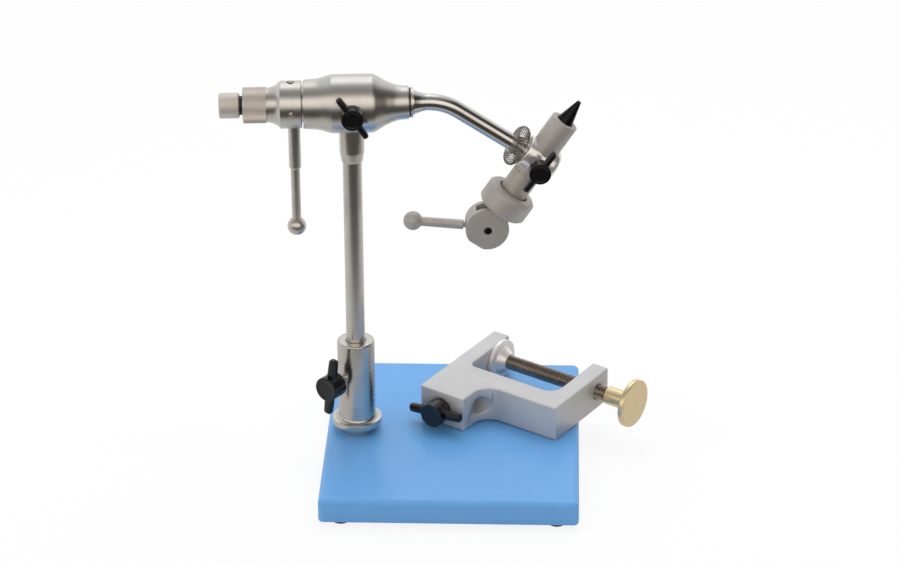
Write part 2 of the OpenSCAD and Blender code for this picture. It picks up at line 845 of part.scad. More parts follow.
module drag_bush() {
    color("#2f2f31")
    along_head() ring(drag_bush_d, tail_d + 2 * run_gap, face_gap - knob_front, face_gap * 2 - hollow_floor - hub_hollow * 0.4);
}

// Dished washers that press the drag bush against the tension knob
module spring_washers() {
    count = 3;
    room = hub_hollow * 0.4 - face_gap;
    pitch = room / count;
    thick = pitch * 0.45;
    dish = pitch * 0.35;
    inner_r = tail_d / 2 + rod_room;
    outer_r = hub_hollow_d / 2 - rod_room;
    color("#8a8988")
    along_head() for (i = [0 : count - 1]) {
        translate([0, 0, -hollow_floor - pitch * (i + 1) + seat_gap]) rotate_extrude() polygon([
            [inner_r, dish], [outer_r, 0], [outer_r, thick], [inner_r, thick + dish]
        ]);
    }
}

module tension_knob() {
    recess = knob_d / 4;
    color("#aeaba6")
    along_head() difference() {
        eased_rod(knob_d, -knob_rear, -knob_front, knob_ease);
        rod(tail_d + 2 * run_gap, -shaft_rear - face_gap, over - knob_front);
        rod(2 * recess, -knob_rear - over, -knob_rear + recess / 2);
    }
}

// Arm
module arm() {
    r = arm_d / 2;
    thin_r = r - seat_gap;
    lap = thin_r / 5;
    flare = [for (s = flare_shares) [s[1] * thin_r, arm_root + s[0] * flare_l]];
    run = arm_run - bend_reach;
    color("#b4b1ac")
    union() {
        along_head() rotate_extrude() polygon(concat(
            [[0, arm_root - tenon_l], [tenon_d / 2, arm_root - tenon_l], [tenon_d / 2, arm_root]],
            flare, [[thin_r, bend_from + lap], [0, bend_from + lap]]
        ));
        at_head() translate([bend_from, 0, -bend_r]) rotate([quarter, 0, 0])
            rotate([0, 0, quarter - arm_drop])
            rotate_extrude(angle = arm_drop) translate([bend_r, 0]) circle(d = arm_d);
        at_head() translate([eye_x, 0, eye_z]) rotate([0, quarter + arm_drop, 0])
            rod(2 * thin_r, -run - lap, arm_seat - eye_rear - seat_gap);
    }
}

module arm_eye() {
    r = eye_d / 2;
    edge = eye_d / 20;
    color("#bdbab5")
    difference() {
        at_head() translate([eye_x, 0, eye_z]) rotate([0, quarter + arm_drop, 0]) difference() {
            rotate_extrude() polygon([
                [0, -eye_rear], [r - edge, -eye_rear], [r, edge - eye_rear],
                [r, eye_front - eye_bevel], [r - eye_bevel * 0.3, eye_front - eye_bevel * 0.3],
                [r - eye_bevel, eye_front], [0, eye_front]
            ]);
            rod(arm_d + 2 * seat_gap, -eye_rear - over, arm_seat - eye_rear);
        }
        at_jaw() rod(tube_d + 2 * run_gap, eye_t - eye_d, eye_t + eye_d);
        at_jaw_screw() rod(stud_d + 2 * run_gap, 0, eye_d);
    }
}

module material_spring() {
    count = garter_curls * rings_per_curl;
    middles = [for (i = [0 : count - 1])
        let (
            a = full_turn * i / count,
            b = full_turn * i / rings_per_curl + half_turn,
            far = garter_r + garter_curl_r * cos(b)
        )
        [cos(a) * far, sin(a) * far, garter_curl_r * sin(b)]];
    echo(material_spring_gap = least_gap(middles, garter_wire, true));
    rings = [for (i = [0 : count - 1])
        let (
            a = full_turn * i / count,
            b = full_turn * i / rings_per_curl + half_turn,
            far = garter_r + garter_curl_r * cos(b),
            away = [cos(a), sin(a), 0],
            along = [-sin(a), cos(a), 0],
            out = away * cos(b) + [0, 0, sin(b)],
            curl = [0, 0, cos(b)] - away * sin(b),
            way = unit(along * far + curl * garter_curl_r * garter_curls)
        )
        wire_ring(middles[i], way, out, garter_wire / 2)];
    color("#9c9a96")
    at_jaw() translate([-garter_back, 0, eye_t])
        rotate([0, quarter - garter_lean, 0]) wire_mesh(rings, true);
}

// Jaws
module jaw_tube() {
    groove = tube_r / 30;
    groove_at = eye_t - eye_d * 0.55;
    end_ease = tube_r / 13;
    color("#96938f")
    at_jaw() rotate_extrude() polygon([
        [rod_r + rod_room, tube_from], [tube_r - end_ease, tube_from], [tube_r, tube_from + end_ease],
        [tube_r, groove_at - groove], [tube_r - groove, groove_at], [tube_r, groove_at + groove],
        [tube_r, tube_to - end_ease], [tube_r - end_ease, tube_to], [tube_mouth / 2, tube_to],
        [bore_r, mouth_from], [bore_r, tube_from + tube_floor],
        [rod_r + rod_room, tube_from + tube_floor]
    ]);
}

module return_spring() {
    from = tube_from + tube_floor + return_wire / 2 + seat_gap;
    to = jaw_root - return_wire / 2 - face_gap;
    r = (bore_r + rod_r) / 2 + return_wire / 6;
    count = return_curls * rings_per_curl;
    rise = (to - from) / return_curls;
    middles = [for (i = [0 : count])
        let (a = full_turn * i / rings_per_curl)
        [cos(a) * r, sin(a) * r, from + rise * i / rings_per_curl]];
    echo(return_spring_gap = least_gap(middles, return_wire, false));
    rings = [for (i = [0 : count])
        let (
            a = full_turn * i / rings_per_curl,
            out = [cos(a), sin(a), 0],
            way = unit([-sin(a) * r, cos(a) * r, rise / (2 * PI)])
        )
        wire_ring(middles[i], way, out, return_wire / 2)];
    color("#8f8d89")
    at_jaw() wire_mesh(rings, false);
}

module adjusting_nut() {
    r = nut_d / 2;
    to = nut_from + nut_l;
    color("#98958f")
    at_jaw() rotate_extrude() polygon([
        [rod_r + rod_room, nut_from], [r - nut_bevel, nut_from], [r, nut_from + nut_bevel],
        [r, to - nut_bevel], [r - nut_bevel, to], [nut_recess_d / 2, to],
        [nut_recess_d / 2, to - nut_recess], [tube_r + run_gap, to - nut_recess],
        [tube_r + run_gap, cup_from], [rod_r + rod_room, cup_from]
    ]);
}

module draw_rod() {
    color("#7d7b78")
    at_jaw() difference() {
        union() {
            rotate_extrude() polygon([
                [0, 0], [rod_r, 0], [rod_r, rod_shoulder], [rod_neck_r, rod_shoulder],
                [rod_neck_r, rod_head_from], [rod_head_r, rod_head_from],
                [rod_head_r, rod_end], [0, rod_end]
            ]);
            rotate([quarter, 0, 0]) translate([0, 0, -rod_eye_t / 2])
                cylinder(r = rod_eye_r, h = rod_eye_t);
        }
        rotate([quarter, 0, 0]) rod(pin_d + 2 * run_gap, -cam_t, cam_t);
    }
}

// One half of the split jaws, on the side given by the sign
module jaw_half(side) {
    neck_hole = rod_neck_r + rod_room;
    head_hole = rod_head_r + rod_room;
    tail_relief = jaw_split * 1.5;
    color("#232326")
    at_jaw() intersection() {
        difference() {
            rotate_extrude() polygon([
                [0, jaw_root], [jaw_r, jaw_root], [jaw_r, mouth_from], [jaw_wide_r, tube_to],
                [jaw_wide_r * 0.93, tube_to + jaw_wide_r * 0.35], [jaw_tip_d / 2, jaw_to], [0, jaw_to]
            ]);
            rod(2 * neck_hole, jaw_root - over, hook_from + over / 2);
            rod(2 * head_hole, hook_from, rod_end + rod_room);
            translate([-jaw_wide_r, -tail_relief, jaw_root - over])
                cube([2 * jaw_wide_r, 2 * tail_relief, hook_pivot - jaw_root + over]);
        }
        translate([-jaw_wide_r, side * (jaw_wide_r + jaw_split / 2) - jaw_wide_r, jaw_root - over])
            cube([2 * jaw_wide_r, 2 * jaw_wide_r, jaw_to]);
    }
}

module front_jaw() {
    jaw_half(-1);
}

module rear_jaw() {
    jaw_half(1);
}

module jaw_knob() {
    color("#1b1c20")
    at_jaw_screw() translate([0, 0, jaw_knob_reach])
        thumb_knob(small_span, small_hub_d, small_hub_l, small_wing);
}

module jaw_stud() {
    color("#9a9a98")
    at_jaw_screw() thumb_stud(tube_r + run_gap, jaw_knob_reach, small_hub_l);
}

// Cam lever
module upright(t) {
    rotate([quarter, 0, 0]) translate([0, 0, -t / 2]) linear_extrude(t) children();
}

module slot_outline() {
    far = cam_r + cam_offset + over;
    half_slot = rod_r + rod_room;
    circle(r = rod_eye_r + 2 * rod_room);
    for (aim = [slot_first, slot_last]) {
        rotate(aim) translate([0, -half_slot]) square([far, 2 * half_slot]);
    }
    polygon(concat([[0, 0]], [for (i = [0 : fan_steps])
        let (aim = slot_last + (slot_first - slot_last) * i / fan_steps)
        [far * cos(aim), far * sin(aim)] * fan_share]));
}

module cam() {
    middle = [cam_offset * cos(cam_aim), cam_offset * sin(cam_aim)];
    color("#96938f")
    at_head() translate([pivot_x, 0, pivot_z]) difference() {
        upright(cam_t) difference() {
            translate(middle) circle(r = cam_r);
            translate(middle) rotate(flat_aim) translate([cam_r - cam_flat, -cam_r])
                square([cam_r, 2 * cam_r]);
            circle(r = pin_r + seat_gap);
        }
        upright(cam_slot) slot_outline();
        rotate([0, -lever_aim, 0]) rotate([0, quarter, 0])
            rod(neck_d + 2 * seat_gap, lever_from * 0.55, cam_r * 2);
    }
}

module cam_pin() {
    sink = cam_t / 20;
    color("#4a4a4c")
    at_head() translate([pivot_x, 0, pivot_z]) rotate([quarter, 0, 0]) difference() {
        rod(pin_d, -cam_t / 2, cam_t / 2 - sink);
        translate([0, 0, cam_t / 2 - sink]) hex_socket(pin_d * 0.6, pin_d / 2);
    }
}

module lever_rod() {
    ease = lever_d / 8;
    color("#9a9792")
    from_pivot(lever_aim) rotate([0, quarter, 0]) union() {
        rod(neck_d, lever_from * 0.55 + seat_gap, lever_from + ease);
        eased_rod(lever_d, lever_from, lever_l, ease);
    }
}

module lever_ball() {
    color("#9a9792")
    from_pivot(lever_aim) translate([lever_l, 0, 0]) difference() {
        sphere(r = ball_r);
        rotate([0, quarter, 0]) rod(lever_d + 2 * seat_gap, -lever_ball_d, seat_gap);
    }
}

// Table clamp
module clamp_outline() {
    difference() {
        union() {
            translate([-clamp_left, 0]) square([clamp_left, spine_back]);
            translate([-clamp_left, boss_depth]) square([clamp_left + clamp_right, spine_t]);
            translate([-clamp_left, boss_depth]) square([clamp_jaw_t, clamp_reach - boss_depth]);
            translate([inner_right, boss_depth]) square([clamp_jaw_t, clamp_reach - boss_depth]);
            translate([0, boss_depth - hollow_r]) square([hollow_r, hollow_r]);
            translate([-inner_left, spine_back]) square([inner_r_left, inner_r_left]);
            translate([inner_right - inner_r_right, spine_back])
                square([inner_r_right, inner_r_right]);
        }
        translate([hollow_r, boss_depth - hollow_r]) circle(r = hollow_r);
        translate([inner_r_left - inner_left, spine_back + inner_r_left]) circle(r = inner_r_left);
        translate([inner_right - inner_r_right, spine_back + inner_r_right])
            circle(r = inner_r_right);
    }
}

module clamp_frame() {
    color("#c9c8c4")
    difference() {
        at_clamp() linear_extrude(clamp_t) clamp_outline();
        at_clamp() translate([0, bore_v, clamp_mid]) rotate([0, quarter, 0])
            rod(2 * socket_bore_r, -clamp_left - over, hollow_r + over);
        at_clamp() translate([-clamp_screw_u, 0, clamp_mid]) rotate([-quarter, 0, 0])
            rod(stud_d + 2 * run_gap, -over, bore_v);
        along_screw() rod(screw_d + 2 * run_gap, inner_right - over, clamp_right + over);
    }
}

module clamp_lock_knob() {
    color("#1b1c20")
    at_clamp_screw() translate([0, 0, clamp_knob_reach])
        thumb_knob(large_span, large_hub_d, large_hub_l, large_wing);
}

module clamp_lock_stud() {
    color("#9a9a98")
    at_clamp_screw() thumb_stud(socket_bore_r + rod_room - bore_v, clamp_knob_reach, large_hub_l);
}

module clamp_pad() {
    edge = pad_t / 6;
    color("#c4c2be")
    along_screw() difference() {
        union() {
            eased_rod(pad_d, pad_from, collar_from, edge);
            rotate_extrude() polygon([
                [0, collar_from - edge], [collar_wide_d / 2, collar_from - edge],
                [collar_wide_d / 2, collar_from + edge], [collar_d / 2, collar_from + collar_l - edge],
                [collar_d / 2 - edge, collar_from + collar_l], [0, collar_from + collar_l]
            ]);
        }
        rod(screw_d * 0.7 + 2 * run_gap, collar_from, collar_from + collar_l + over);
    }
}

module clamp_screw() {
    neck_to = collar_from + collar_l + face_gap;
    color("#6e5f52")
    along_screw() union() {
        rod(screw_d * 0.7, collar_from + face_gap, neck_to + screw_d / 8);
        eased_rod(screw_d, neck_to, brass_end - brass_t, screw_d / 8);
    }
}

module clamp_knob() {
    hub_r = brass_hub_d / 2;
    disc_r = brass_d / 2;
    edge = brass_t / 6;
    flare_from = brass_from + brass_hub_l;
    disc_from = flare_from + brass_flare;
    color("#d7b98c")
    along_screw() difference() {
        rotate_extrude() polygon([
            [0, brass_from], [hub_r - edge, brass_from], [hub_r, brass_from + edge],
            [hub_r, flare_from], [hub_r + (disc_r - hub_r) / 4, flare_from + brass_flare / 2],
            [hub_r + (disc_r - hub_r) / 1.6, disc_from], [disc_r - edge, disc_from],
            [disc_r, disc_from + edge], [disc_r, brass_end - edge], [disc_r - edge, brass_end],
            [0, brass_end]
        ]);
        rod(screw_d + 2 * seat_gap, brass_from - over, brass_end - brass_t + seat_gap);
    }
}

base_plate();
rubber_feet();
socket_tube();
socket_bolt();
socket_knob();
socket_stud();
stem();
stem_ferrule();
housing();
front_bushing();
rear_bushing();
head_knob();
head_stud();
rotary_shaft();
rear_washer();
front_washer();
front_ring();
rotary_hub();
hub_grub_screws();
crank_rod();
crank_ball();
drag_bush();
spring_washers();
tension_knob();
arm();
arm_eye();
material_spring();
jaw_tube();
return_spring();
adjusting_nut();
draw_rod();
front_jaw();
rear_jaw();
jaw_knob();
jaw_stud();
cam();
cam_pin();
lever_rod();
lever_ball();
clamp_frame();
clamp_lock_knob();
clamp_lock_stud();
clamp_pad();
clamp_screw();
clamp_knob();
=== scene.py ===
# %% [markdown]
# # A rotary fly tying vise
# This bench tool holds a very small workpiece in two jaws while thread is wound round it. The jaws
# turn about a horizontal axis, so the work can be looked at from every side. The tool stands in a
# heavy plate, and the clamp that fixes the same stem to a table lies on that plate.
# The solids come from the CAD model. This lesson loads them as a fixed frame, gives each one the
# finish of its real material, and builds finer pieces where a plain solid is not enough.

# %% Load the solid model
import bmesh
import bpy
import json
import math
from mathutils import Matrix, Vector


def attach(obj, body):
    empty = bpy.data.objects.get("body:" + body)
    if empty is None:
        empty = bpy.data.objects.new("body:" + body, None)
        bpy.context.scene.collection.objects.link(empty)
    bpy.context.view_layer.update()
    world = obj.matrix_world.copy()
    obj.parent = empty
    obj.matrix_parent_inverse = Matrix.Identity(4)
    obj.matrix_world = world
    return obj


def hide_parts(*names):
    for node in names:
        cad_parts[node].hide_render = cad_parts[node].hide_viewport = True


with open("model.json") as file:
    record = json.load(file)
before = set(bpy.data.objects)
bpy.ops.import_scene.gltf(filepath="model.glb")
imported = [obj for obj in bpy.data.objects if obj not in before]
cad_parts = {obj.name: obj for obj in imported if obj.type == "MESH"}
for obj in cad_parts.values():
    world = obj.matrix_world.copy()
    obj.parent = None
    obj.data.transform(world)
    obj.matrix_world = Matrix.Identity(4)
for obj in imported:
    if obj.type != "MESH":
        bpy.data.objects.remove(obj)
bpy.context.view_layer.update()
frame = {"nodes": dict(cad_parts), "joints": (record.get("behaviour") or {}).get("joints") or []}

# %% [markdown]
# ## Places on the object
# Each group of pieces is easiest to build along its own axis: the stem upright, the head lying
# along its shaft, the jaws along their tube. A 4 x 4 matrix carries such a local place into the
# object. Building every piece straight into the object's own coordinates would put sines and
# cosines into each shape. The frame knows where each joint of the CAD model stands, so these
# places start at joints and only their turns are typed. Sizes are millimetres, as on a drawing,
# and become metres when a mesh is made. A size that several pieces follow has a name.

# %% Local places, one matrix for each axis
MM = 0.001
HEAD_TURN, ARM_DROP = 4, 34
JOINTS = {joint["name"]: joint["pos_m"] for joint in frame["joints"] if "pos_m" in joint}
HEAD_HEIGHT = JOINTS["head_swivel"][2] / MM


def shift(x, y, z):
    """A move in millimetres."""
    return Matrix.Translation((x * MM, y * MM, z * MM))


def turn(degrees, axis):
    """A turn about X, Y, Z or a given direction."""
    return Matrix.Rotation(math.radians(degrees), 4, axis)


def joint_place(name):
    """Where a joint of the CAD model stands, unturned."""
    return Matrix.Translation(JOINTS[name])


STEM = joint_place("head_swivel") @ shift(0, 0, -HEAD_HEIGHT)
HEAD = joint_place("rotary") @ turn(HEAD_TURN, "Z")
SHAFT = HEAD @ turn(90, "Y")
PIVOT = joint_place("cam_turn") @ turn(HEAD_TURN, "Z")
JAW = PIVOT @ turn(ARM_DROP, "Y")
LEVER = PIVOT @ turn(-84, "Y")
EYE_MIDDLE = joint_place("jaw_screw_turn") @ turn(HEAD_TURN, "Z")
EYE = EYE_MIDDLE @ turn(90 + ARM_DROP, "Y")
CLAMP_LIE = turn(-32.8, "Z") @ turn(1.95, Vector((44.3, 18.6, 0)))
SPINDLE = joint_place("spindle_turn") @ CLAMP_LIE @ turn(90, "Y")
SOCKET_SCREW = joint_place("socket_screw_turn") @ turn(235, "Z") @ turn(90, "Y") @ turn(-8, "Z")
HEAD_SCREW = joint_place("head_screw_turn") @ turn(HEAD_TURN, "Z") @ turn(90, "X")
HEAD_SCREW = HEAD_SCREW @ turn(123.7, "Z")
JAW_SCREW = EYE_MIDDLE @ turn(90, "X") @ turn(54, "Z")
CLAMP_SCREW = joint_place("clamp_screw_lock_turn") @ CLAMP_LIE @ turn(90, "X") @ turn(6, "Z")
print("the head's axis stands", round(HEAD_HEIGHT, 2), "mm high")
print("the jaws' axis runs along", tuple(round(v, 3) for v in JAW.col[2][:3]))

# %% [markdown]
# ## The camera
# The photograph was taken with a long lens, from a little to the right and about 27 degrees above
# the horizon. A camera can be aimed with a Track To constraint, but a constraint has no slot for
# the photograph's slight roll. Here the camera's three axes are worked out from its angles and
# written into its matrix, and the focal length sets how much of the scene fills the frame.

# %% Camera at the photograph's angle
def new_object(name, data):
    """An object with its data, linked to the scene."""
    made = bpy.data.objects.new(name, data)
    bpy.context.scene.collection.objects.link(made)
    return made


CAMERA_TURN, CAMERA_RISE, CAMERA_ROLL = 2.119, 26.621, -0.302
CAMERA_PLACE = Vector((58.826, -1431.176, 817.917)) * MM
turn_r, rise_r, roll_r = (math.radians(v) for v in (CAMERA_TURN, CAMERA_RISE, CAMERA_ROLL))
back = Vector((
    math.sin(turn_r) * math.cos(rise_r), -math.cos(turn_r) * math.cos(rise_r), math.sin(rise_r)
))
level_right = Vector((math.cos(turn_r), math.sin(turn_r), 0))
level_up = back.cross(level_right)
right = level_right * math.cos(roll_r) + level_up * math.sin(roll_r)
up = level_up * math.cos(roll_r) - level_right * math.sin(roll_r)

camera_data = bpy.data.cameras.new("camera")
camera_data.lens = 126.934
camera_data.sensor_width = 36
camera_data.clip_end = 20
camera = new_object("camera", camera_data)
camera.matrix_world = Matrix((
    (right.x, up.x, back.x, CAMERA_PLACE.x),
    (right.y, up.y, back.y, CAMERA_PLACE.y),
    (right.z, up.z, back.z, CAMERA_PLACE.z),
    (0, 0, 0, 1),
))
bpy.context.scene.camera = camera
bpy.context.scene.view_settings.view_transform = "Standard"
print("camera looks along", tuple(round(-v, 3) for v in back))

# %% [markdown]
# ## Nodes with less typing
# Every material and every Geometry Nodes tree below is a set of nodes and links. Written out in
# full, each node takes four or five lines. One small helper makes a node, sets its fields and
# feeds its sockets from other nodes or from plain values, so a tree reads from top to bottom. The
# kinds that come up most often get a still shorter helper.

# %% Helpers that add nodes
def add(tree, kind, inputs=None, **fields):
    """Adds a node; inputs maps a socket's name or number to a value or to another socket."""
    made = tree.nodes.new(kind)
    for name, value in fields.items():
        setattr(made, name, value)
    for key, value in (inputs or {}).items():
        if isinstance(value, bpy.types.NodeSocket):
            tree.links.new(value, made.inputs[key])
        else:
            made.inputs[key].default_value = value
    return made


def maths(tree, operation, *values):
    """A Math node's result."""
    return add(tree, "ShaderNodeMath", dict(enumerate(values)), operation=operation).outputs[0]


def between(tree, value, low, high, first=0.0, last=1.0):
    """A Map Range node's result: first up to low, last from high on, and even steps between."""
    inputs = {0: value, 1: low, 2: high, 3: first, 4: last}
    return add(tree, "ShaderNodeMapRange", inputs).outputs[0]


def parts_of(tree, vector):
    """The X, Y and Z of a vector, as sockets."""
    return add(tree, "ShaderNodeSeparateXYZ", {0: vector}).outputs


def vector_of(tree, x, y, z):
    """A vector made of three numbers or sockets."""
    return add(tree, "ShaderNodeCombineXYZ", {0: x, 1: y, 2: z}).outputs[0]


def new_group(name, kind, inputs, outputs):
    """An empty node group with named sockets, then what it is given and what it gives back."""
    group = bpy.data.node_groups.new(name, kind)
    for label, socket, value in inputs:
        made = group.interface.new_socket(label, in_out="INPUT", socket_type=socket)
        if value is not None:
            made.default_value = value
    for label, socket in outputs:
        group.interface.new_socket(label, in_out="OUTPUT", socket_type=socket)
    given, result = group.nodes.new("NodeGroupInput"), group.nodes.new("NodeGroupOutput")
    return group, given.outputs, result.inputs


print("helpers:", [f.__name__ for f in (add, maths, between, parts_of, vector_of, new_group)])

# %% [markdown]
# ## Light and floor
# Polished steel has hardly any colour of its own: it shows the room. A product studio is bright,
# with large soft lights and a few darker gaps, and those gaps draw the dark streaks down a stem.
# The room could be built from walls and light boxes. Here the world's colour draws it from the
# direction alone, which is quicker to tune and adds no objects. The colour follows the height: 0
# is the horizon in front, 0.5 is straight up and 1 is the horizon behind. The right side is
# darker in front, and a bright box hangs above and behind.
# Three area lamps light the dull surfaces, and polished metal doesn't mirror them. The white
# behind the object comes from the floor's own colour to the camera, not from stronger lamps, so
# the object's colours stay as they are written.

# %% The room's colour by height
world = bpy.data.worlds.new("studio")
bpy.context.scene.world = world
world.use_nodes = True
room = world.node_tree
room.nodes.clear()
looking = parts_of(room, add(room, "ShaderNodeTexCoord").outputs["Generated"])
forward = maths(room, "MULTIPLY", looking["Y"], -1.0)
height = maths(room, "MULTIPLY", maths(room, "ARCTAN2", looking["Z"], forward), 1 / math.pi)
ramp = add(room, "ShaderNodeValToRGB", {0: height})
steps = ramp.color_ramp.elements
steps[0].position, steps[0].color = 0.0, (0.14, 0.13, 0.12, 1)
steps[1].position, steps[1].color = 1.0, (0.85, 0.86, 0.87, 1)
CREAM, COOL = (1.0, 0.94, 0.88), (0.97, 0.985, 1.0)
ROOM = {
    CREAM: ((0.035, 0.62), (0.08, 1.0), (0.2, 1.2), (0.255, 1.0), (0.3, 0.5), (0.345, 0.26)),
    COOL: ((0.42, 0.24), (0.49, 0.34), (0.56, 0.48), (0.66, 0.8), (0.74, 0.66), (0.88, 0.85)),
}
for colour, levels in ROOM.items():
    for position, bright in levels:
        steps.new(position).color = [bright * part for part in colour] + [1]
print("room levels:", [round(step.position, 2) for step in steps])

# %% A darker right side and a bright box above
DARK_FROM_LOW, DARK_FROM_HIGH = 0.58, 0.24
DARK_FULL_LOW, DARK_FULL_HIGH = 0.86, 0.62
BOX_HEIGHT = 0.705
high = between(room, height, 0.25, 0.35)
starts = maths(room, "MULTIPLY_ADD", high, DARK_FROM_HIGH - DARK_FROM_LOW, DARK_FROM_LOW)
stops = maths(room, "MULTIPLY_ADD", high, DARK_FULL_HIGH - DARK_FULL_LOW, DARK_FULL_LOW)
right_side = between(room, looking["X"], starts, stops)
darker = between(room, looking["Y"], 0.25, 0.55, -0.82, 0.0)
level = maths(room, "MULTIPLY_ADD", right_side, darker, 1.0)
box_wide = between(room, maths(room, "ABSOLUTE", looking["X"]), 0.1, 0.26, 1.0, 0.0)
from_middle = maths(room, "ABSOLUTE", maths(room, "SUBTRACT", height, BOX_HEIGHT))
box_deep = between(room, from_middle, 0.09, 0.14, 1.0, 0.0)
level = maths(room, "MULTIPLY_ADD", box_wide, box_deep, level)
path = add(room, "ShaderNodeLightPath")
seen = add(room, "ShaderNodeBackground", {"Color": (1, 1, 1, 1), "Strength": 1.0})
lit = add(room, "ShaderNodeBackground", {"Color": ramp.outputs[0], "Strength": level})
both = add(room, "ShaderNodeMixShader", {
    0: path.outputs["Is Camera Ray"], 1: lit.outputs[0], 2: seen.outputs[0]
})
add(room, "ShaderNodeOutputWorld", {0: both.outputs[0]})
print("nodes in the world:", len(room.nodes))

# %% Three soft lamps
def soft_lamp(name, place, aim, size, power):
    """A soft area lamp at a place, aimed at a point; both in metres."""
    data = bpy.data.lights.new(name, "AREA")
    data.shape = "RECTANGLE"
    data.size, data.size_y = size
    data.energy = power
    lamp = new_object(name, data)
    lamp.location = place
    lamp.rotation_euler = (Vector(aim) - Vector(place)).to_track_quat("-Z", "Y").to_euler()
    lamp.visible_glossy = False


soft_lamp("lamp_over", (0.1, 0.25, 1.2), (0, 0, 0.1), (1.0, 0.8), 8)
soft_lamp("lamp_left", (-1.1, -0.3, 0.75), (0, 0, 0.12), (0.5, 0.9), 3)
soft_lamp("lamp_right", (1.2, -0.1, 0.6), (0, 0, 0.1), (0.4, 0.9), 2)

# %% The floor
def floor_material():
    """Near white to the camera with its shadow kept, and darker in front to polished metal."""
    made = bpy.data.materials.new("pale_floor")
    made.use_nodes = True
    tree = made.node_tree
    tree.nodes.clear()
    dull = add(tree, "ShaderNodeBsdfDiffuse", {"Color": (0.86, 0.86, 0.86, 1)})
    glow = add(tree, "ShaderNodeEmission", {"Color": (1, 1, 1, 1), "Strength": 1.0})
    spot = parts_of(tree, add(tree, "ShaderNodeTexCoord").outputs["Object"])
    away = maths(tree, "MULTIPLY_ADD", spot["X"], -0.3, spot["Y"])
    fade = add(tree, "ShaderNodeValToRGB", {0: between(tree, away, -0.5, 0.5)})
    ends = fade.color_ramp.elements
    ends[0].position, ends[0].color = 0.0, (0.06, 0.056, 0.05, 1)
    ends[1].position, ends[1].color = 1.0, (0.85, 0.85, 0.85, 1)
    for position, bright in ((0.24, 0.055), (0.3, 0.17), (0.36, 0.5), (0.5, 0.62)):
        ends.new(position).color = (bright, bright * 0.98, bright * 0.96, 1)
    shown = add(tree, "ShaderNodeEmission", {"Color": fade.outputs[0], "Strength": 1.0})
    rays = add(tree, "ShaderNodeLightPath")
    to_eye = maths(tree, "MULTIPLY", rays.outputs["Is Camera Ray"], 0.87)
    mixed = add(tree, "ShaderNodeMixShader", {0: to_eye, 1: dull.outputs[0], 2: glow.outputs[0]})
    mirrored = add(tree, "ShaderNodeMixShader", {
        0: rays.outputs["Is Glossy Ray"], 1: mixed.outputs[0], 2: shown.outputs[0]
    })
    add(tree, "ShaderNodeOutputMaterial", {0: mirrored.outputs[0]})
    return made


floor_mesh = bpy.data.meshes.new("floor")
floor_mesh.from_pydata([(-8, -6, 0), (8, -6, 0), (8, 12, 0), (-8, 12, 0)], [], [(0, 1, 2, 3)])
floor = new_object("floor", floor_mesh)
floor_mesh.materials.append(floor_material())
print("floor corners:", len(floor_mesh.vertices))

# %% [markdown]
# ## Surface effects that several finishes share
# Turned steel carries fine rings from the lathe, blasted steel a fine even grain, and every
# handled surface slight smudges. Such an effect could be copied into each material, but a change
# would then have to be made many times. A node group holds each effect once. It takes a place on
# the piece and a size, and gives back a height for the Bump node and a shade for colour and
# roughness.

# %% Group: rings left by the lathe
COORDS = "NodeSocketVector"
NUMBER = "NodeSocketFloat"
EFFECT = [("Height", NUMBER), ("Shade", NUMBER)]


def smudged(group, place, fine, share, scale, detail):
    """A shade that is a share of the fine pattern, and slow smudges for the rest."""
    smudge = add(group, "ShaderNodeTexNoise", {
        "Vector": place, "Scale": scale, "Detail": detail, "Roughness": 0.6
    })
    rest = maths(group, "MULTIPLY", smudge.outputs[0], 1 - share)
    return maths(group, "MULTIPLY_ADD", fine, share, rest)


rings, given, result = new_group("lathe_rings", "ShaderNodeTree", [
    ("Place", COORDS, None), ("Rings per metre", NUMBER, 4000.0)
], EFFECT)
spot = parts_of(rings, given["Place"])
far_out = maths(rings, "POWER", maths(
    rings, "ADD", maths(rings, "POWER", spot["X"], 2.0), maths(rings, "POWER", spot["Y"], 2.0)
), 0.5)
across = maths(rings, "MULTIPLY", far_out, given["Rings per metre"])
along = maths(rings, "MULTIPLY", spot["Z"], given["Rings per metre"])
lines = add(rings, "ShaderNodeTexNoise", {
    "Vector": vector_of(rings, across, 0.0, along), "Scale": 1.0, "Detail": 3.0
}).outputs[0]
rings.links.new(lines, result["Height"])
rings.links.new(smudged(rings, given["Place"], lines, 0.45, 90.0, 4.0), result["Shade"])
print(rings.name, "has", len(rings.nodes), "nodes")

# %% Group: fine grain of a blasted, cast or moulded surface
grain, given, result = new_group("fine_grain", "ShaderNodeTree", [
    ("Place", COORDS, None), ("Grains per metre", NUMBER, 2500.0)
], EFFECT)
grit = add(grain, "ShaderNodeTexNoise", {
    "Vector": given["Place"], "Scale": given["Grains per metre"], "Detail": 3.0
}).outputs[0]
grain.links.new(grit, result["Height"])
grain.links.new(smudged(grain, given["Place"], grit, 0.35, 60.0, 5.0), result["Shade"])
print(grain.name, "has", len(grain.nodes), "nodes")

# %% Group: diamond knurl round an axis
knurl, given, result = new_group("diamond_knurl", "ShaderNodeTree", [
    ("Place", COORDS, None), ("Radius", NUMBER, 0.009), ("Diamonds per metre", NUMBER, 900.0)
], EFFECT)
spot = parts_of(knurl, given["Place"])
round_it = maths(knurl, "MULTIPLY", maths(knurl, "ARCTAN2", spot["Y"], spot["X"]), given["Radius"])
waves = []
for slant in ("ADD", "SUBTRACT"):
    path_length = maths(knurl, slant, round_it, spot["Z"])
    phase = maths(knurl, "MULTIPLY", path_length, given["Diamonds per metre"])
    waves.append(maths(knurl, "PINGPONG", phase, 0.5))
# The depth feeds both the bump and the colour. The colour is darker in the grooves and lighter on
# the crests: painted shade and a painted highlight.
depth = maths(knurl, "MULTIPLY", maths(knurl, "MINIMUM", *waves), 2.0)
knurl.links.new(depth, result["Height"])
knurl.links.new(depth, result["Shade"])
print(knurl.name, "has", len(knurl.nodes), "nodes")

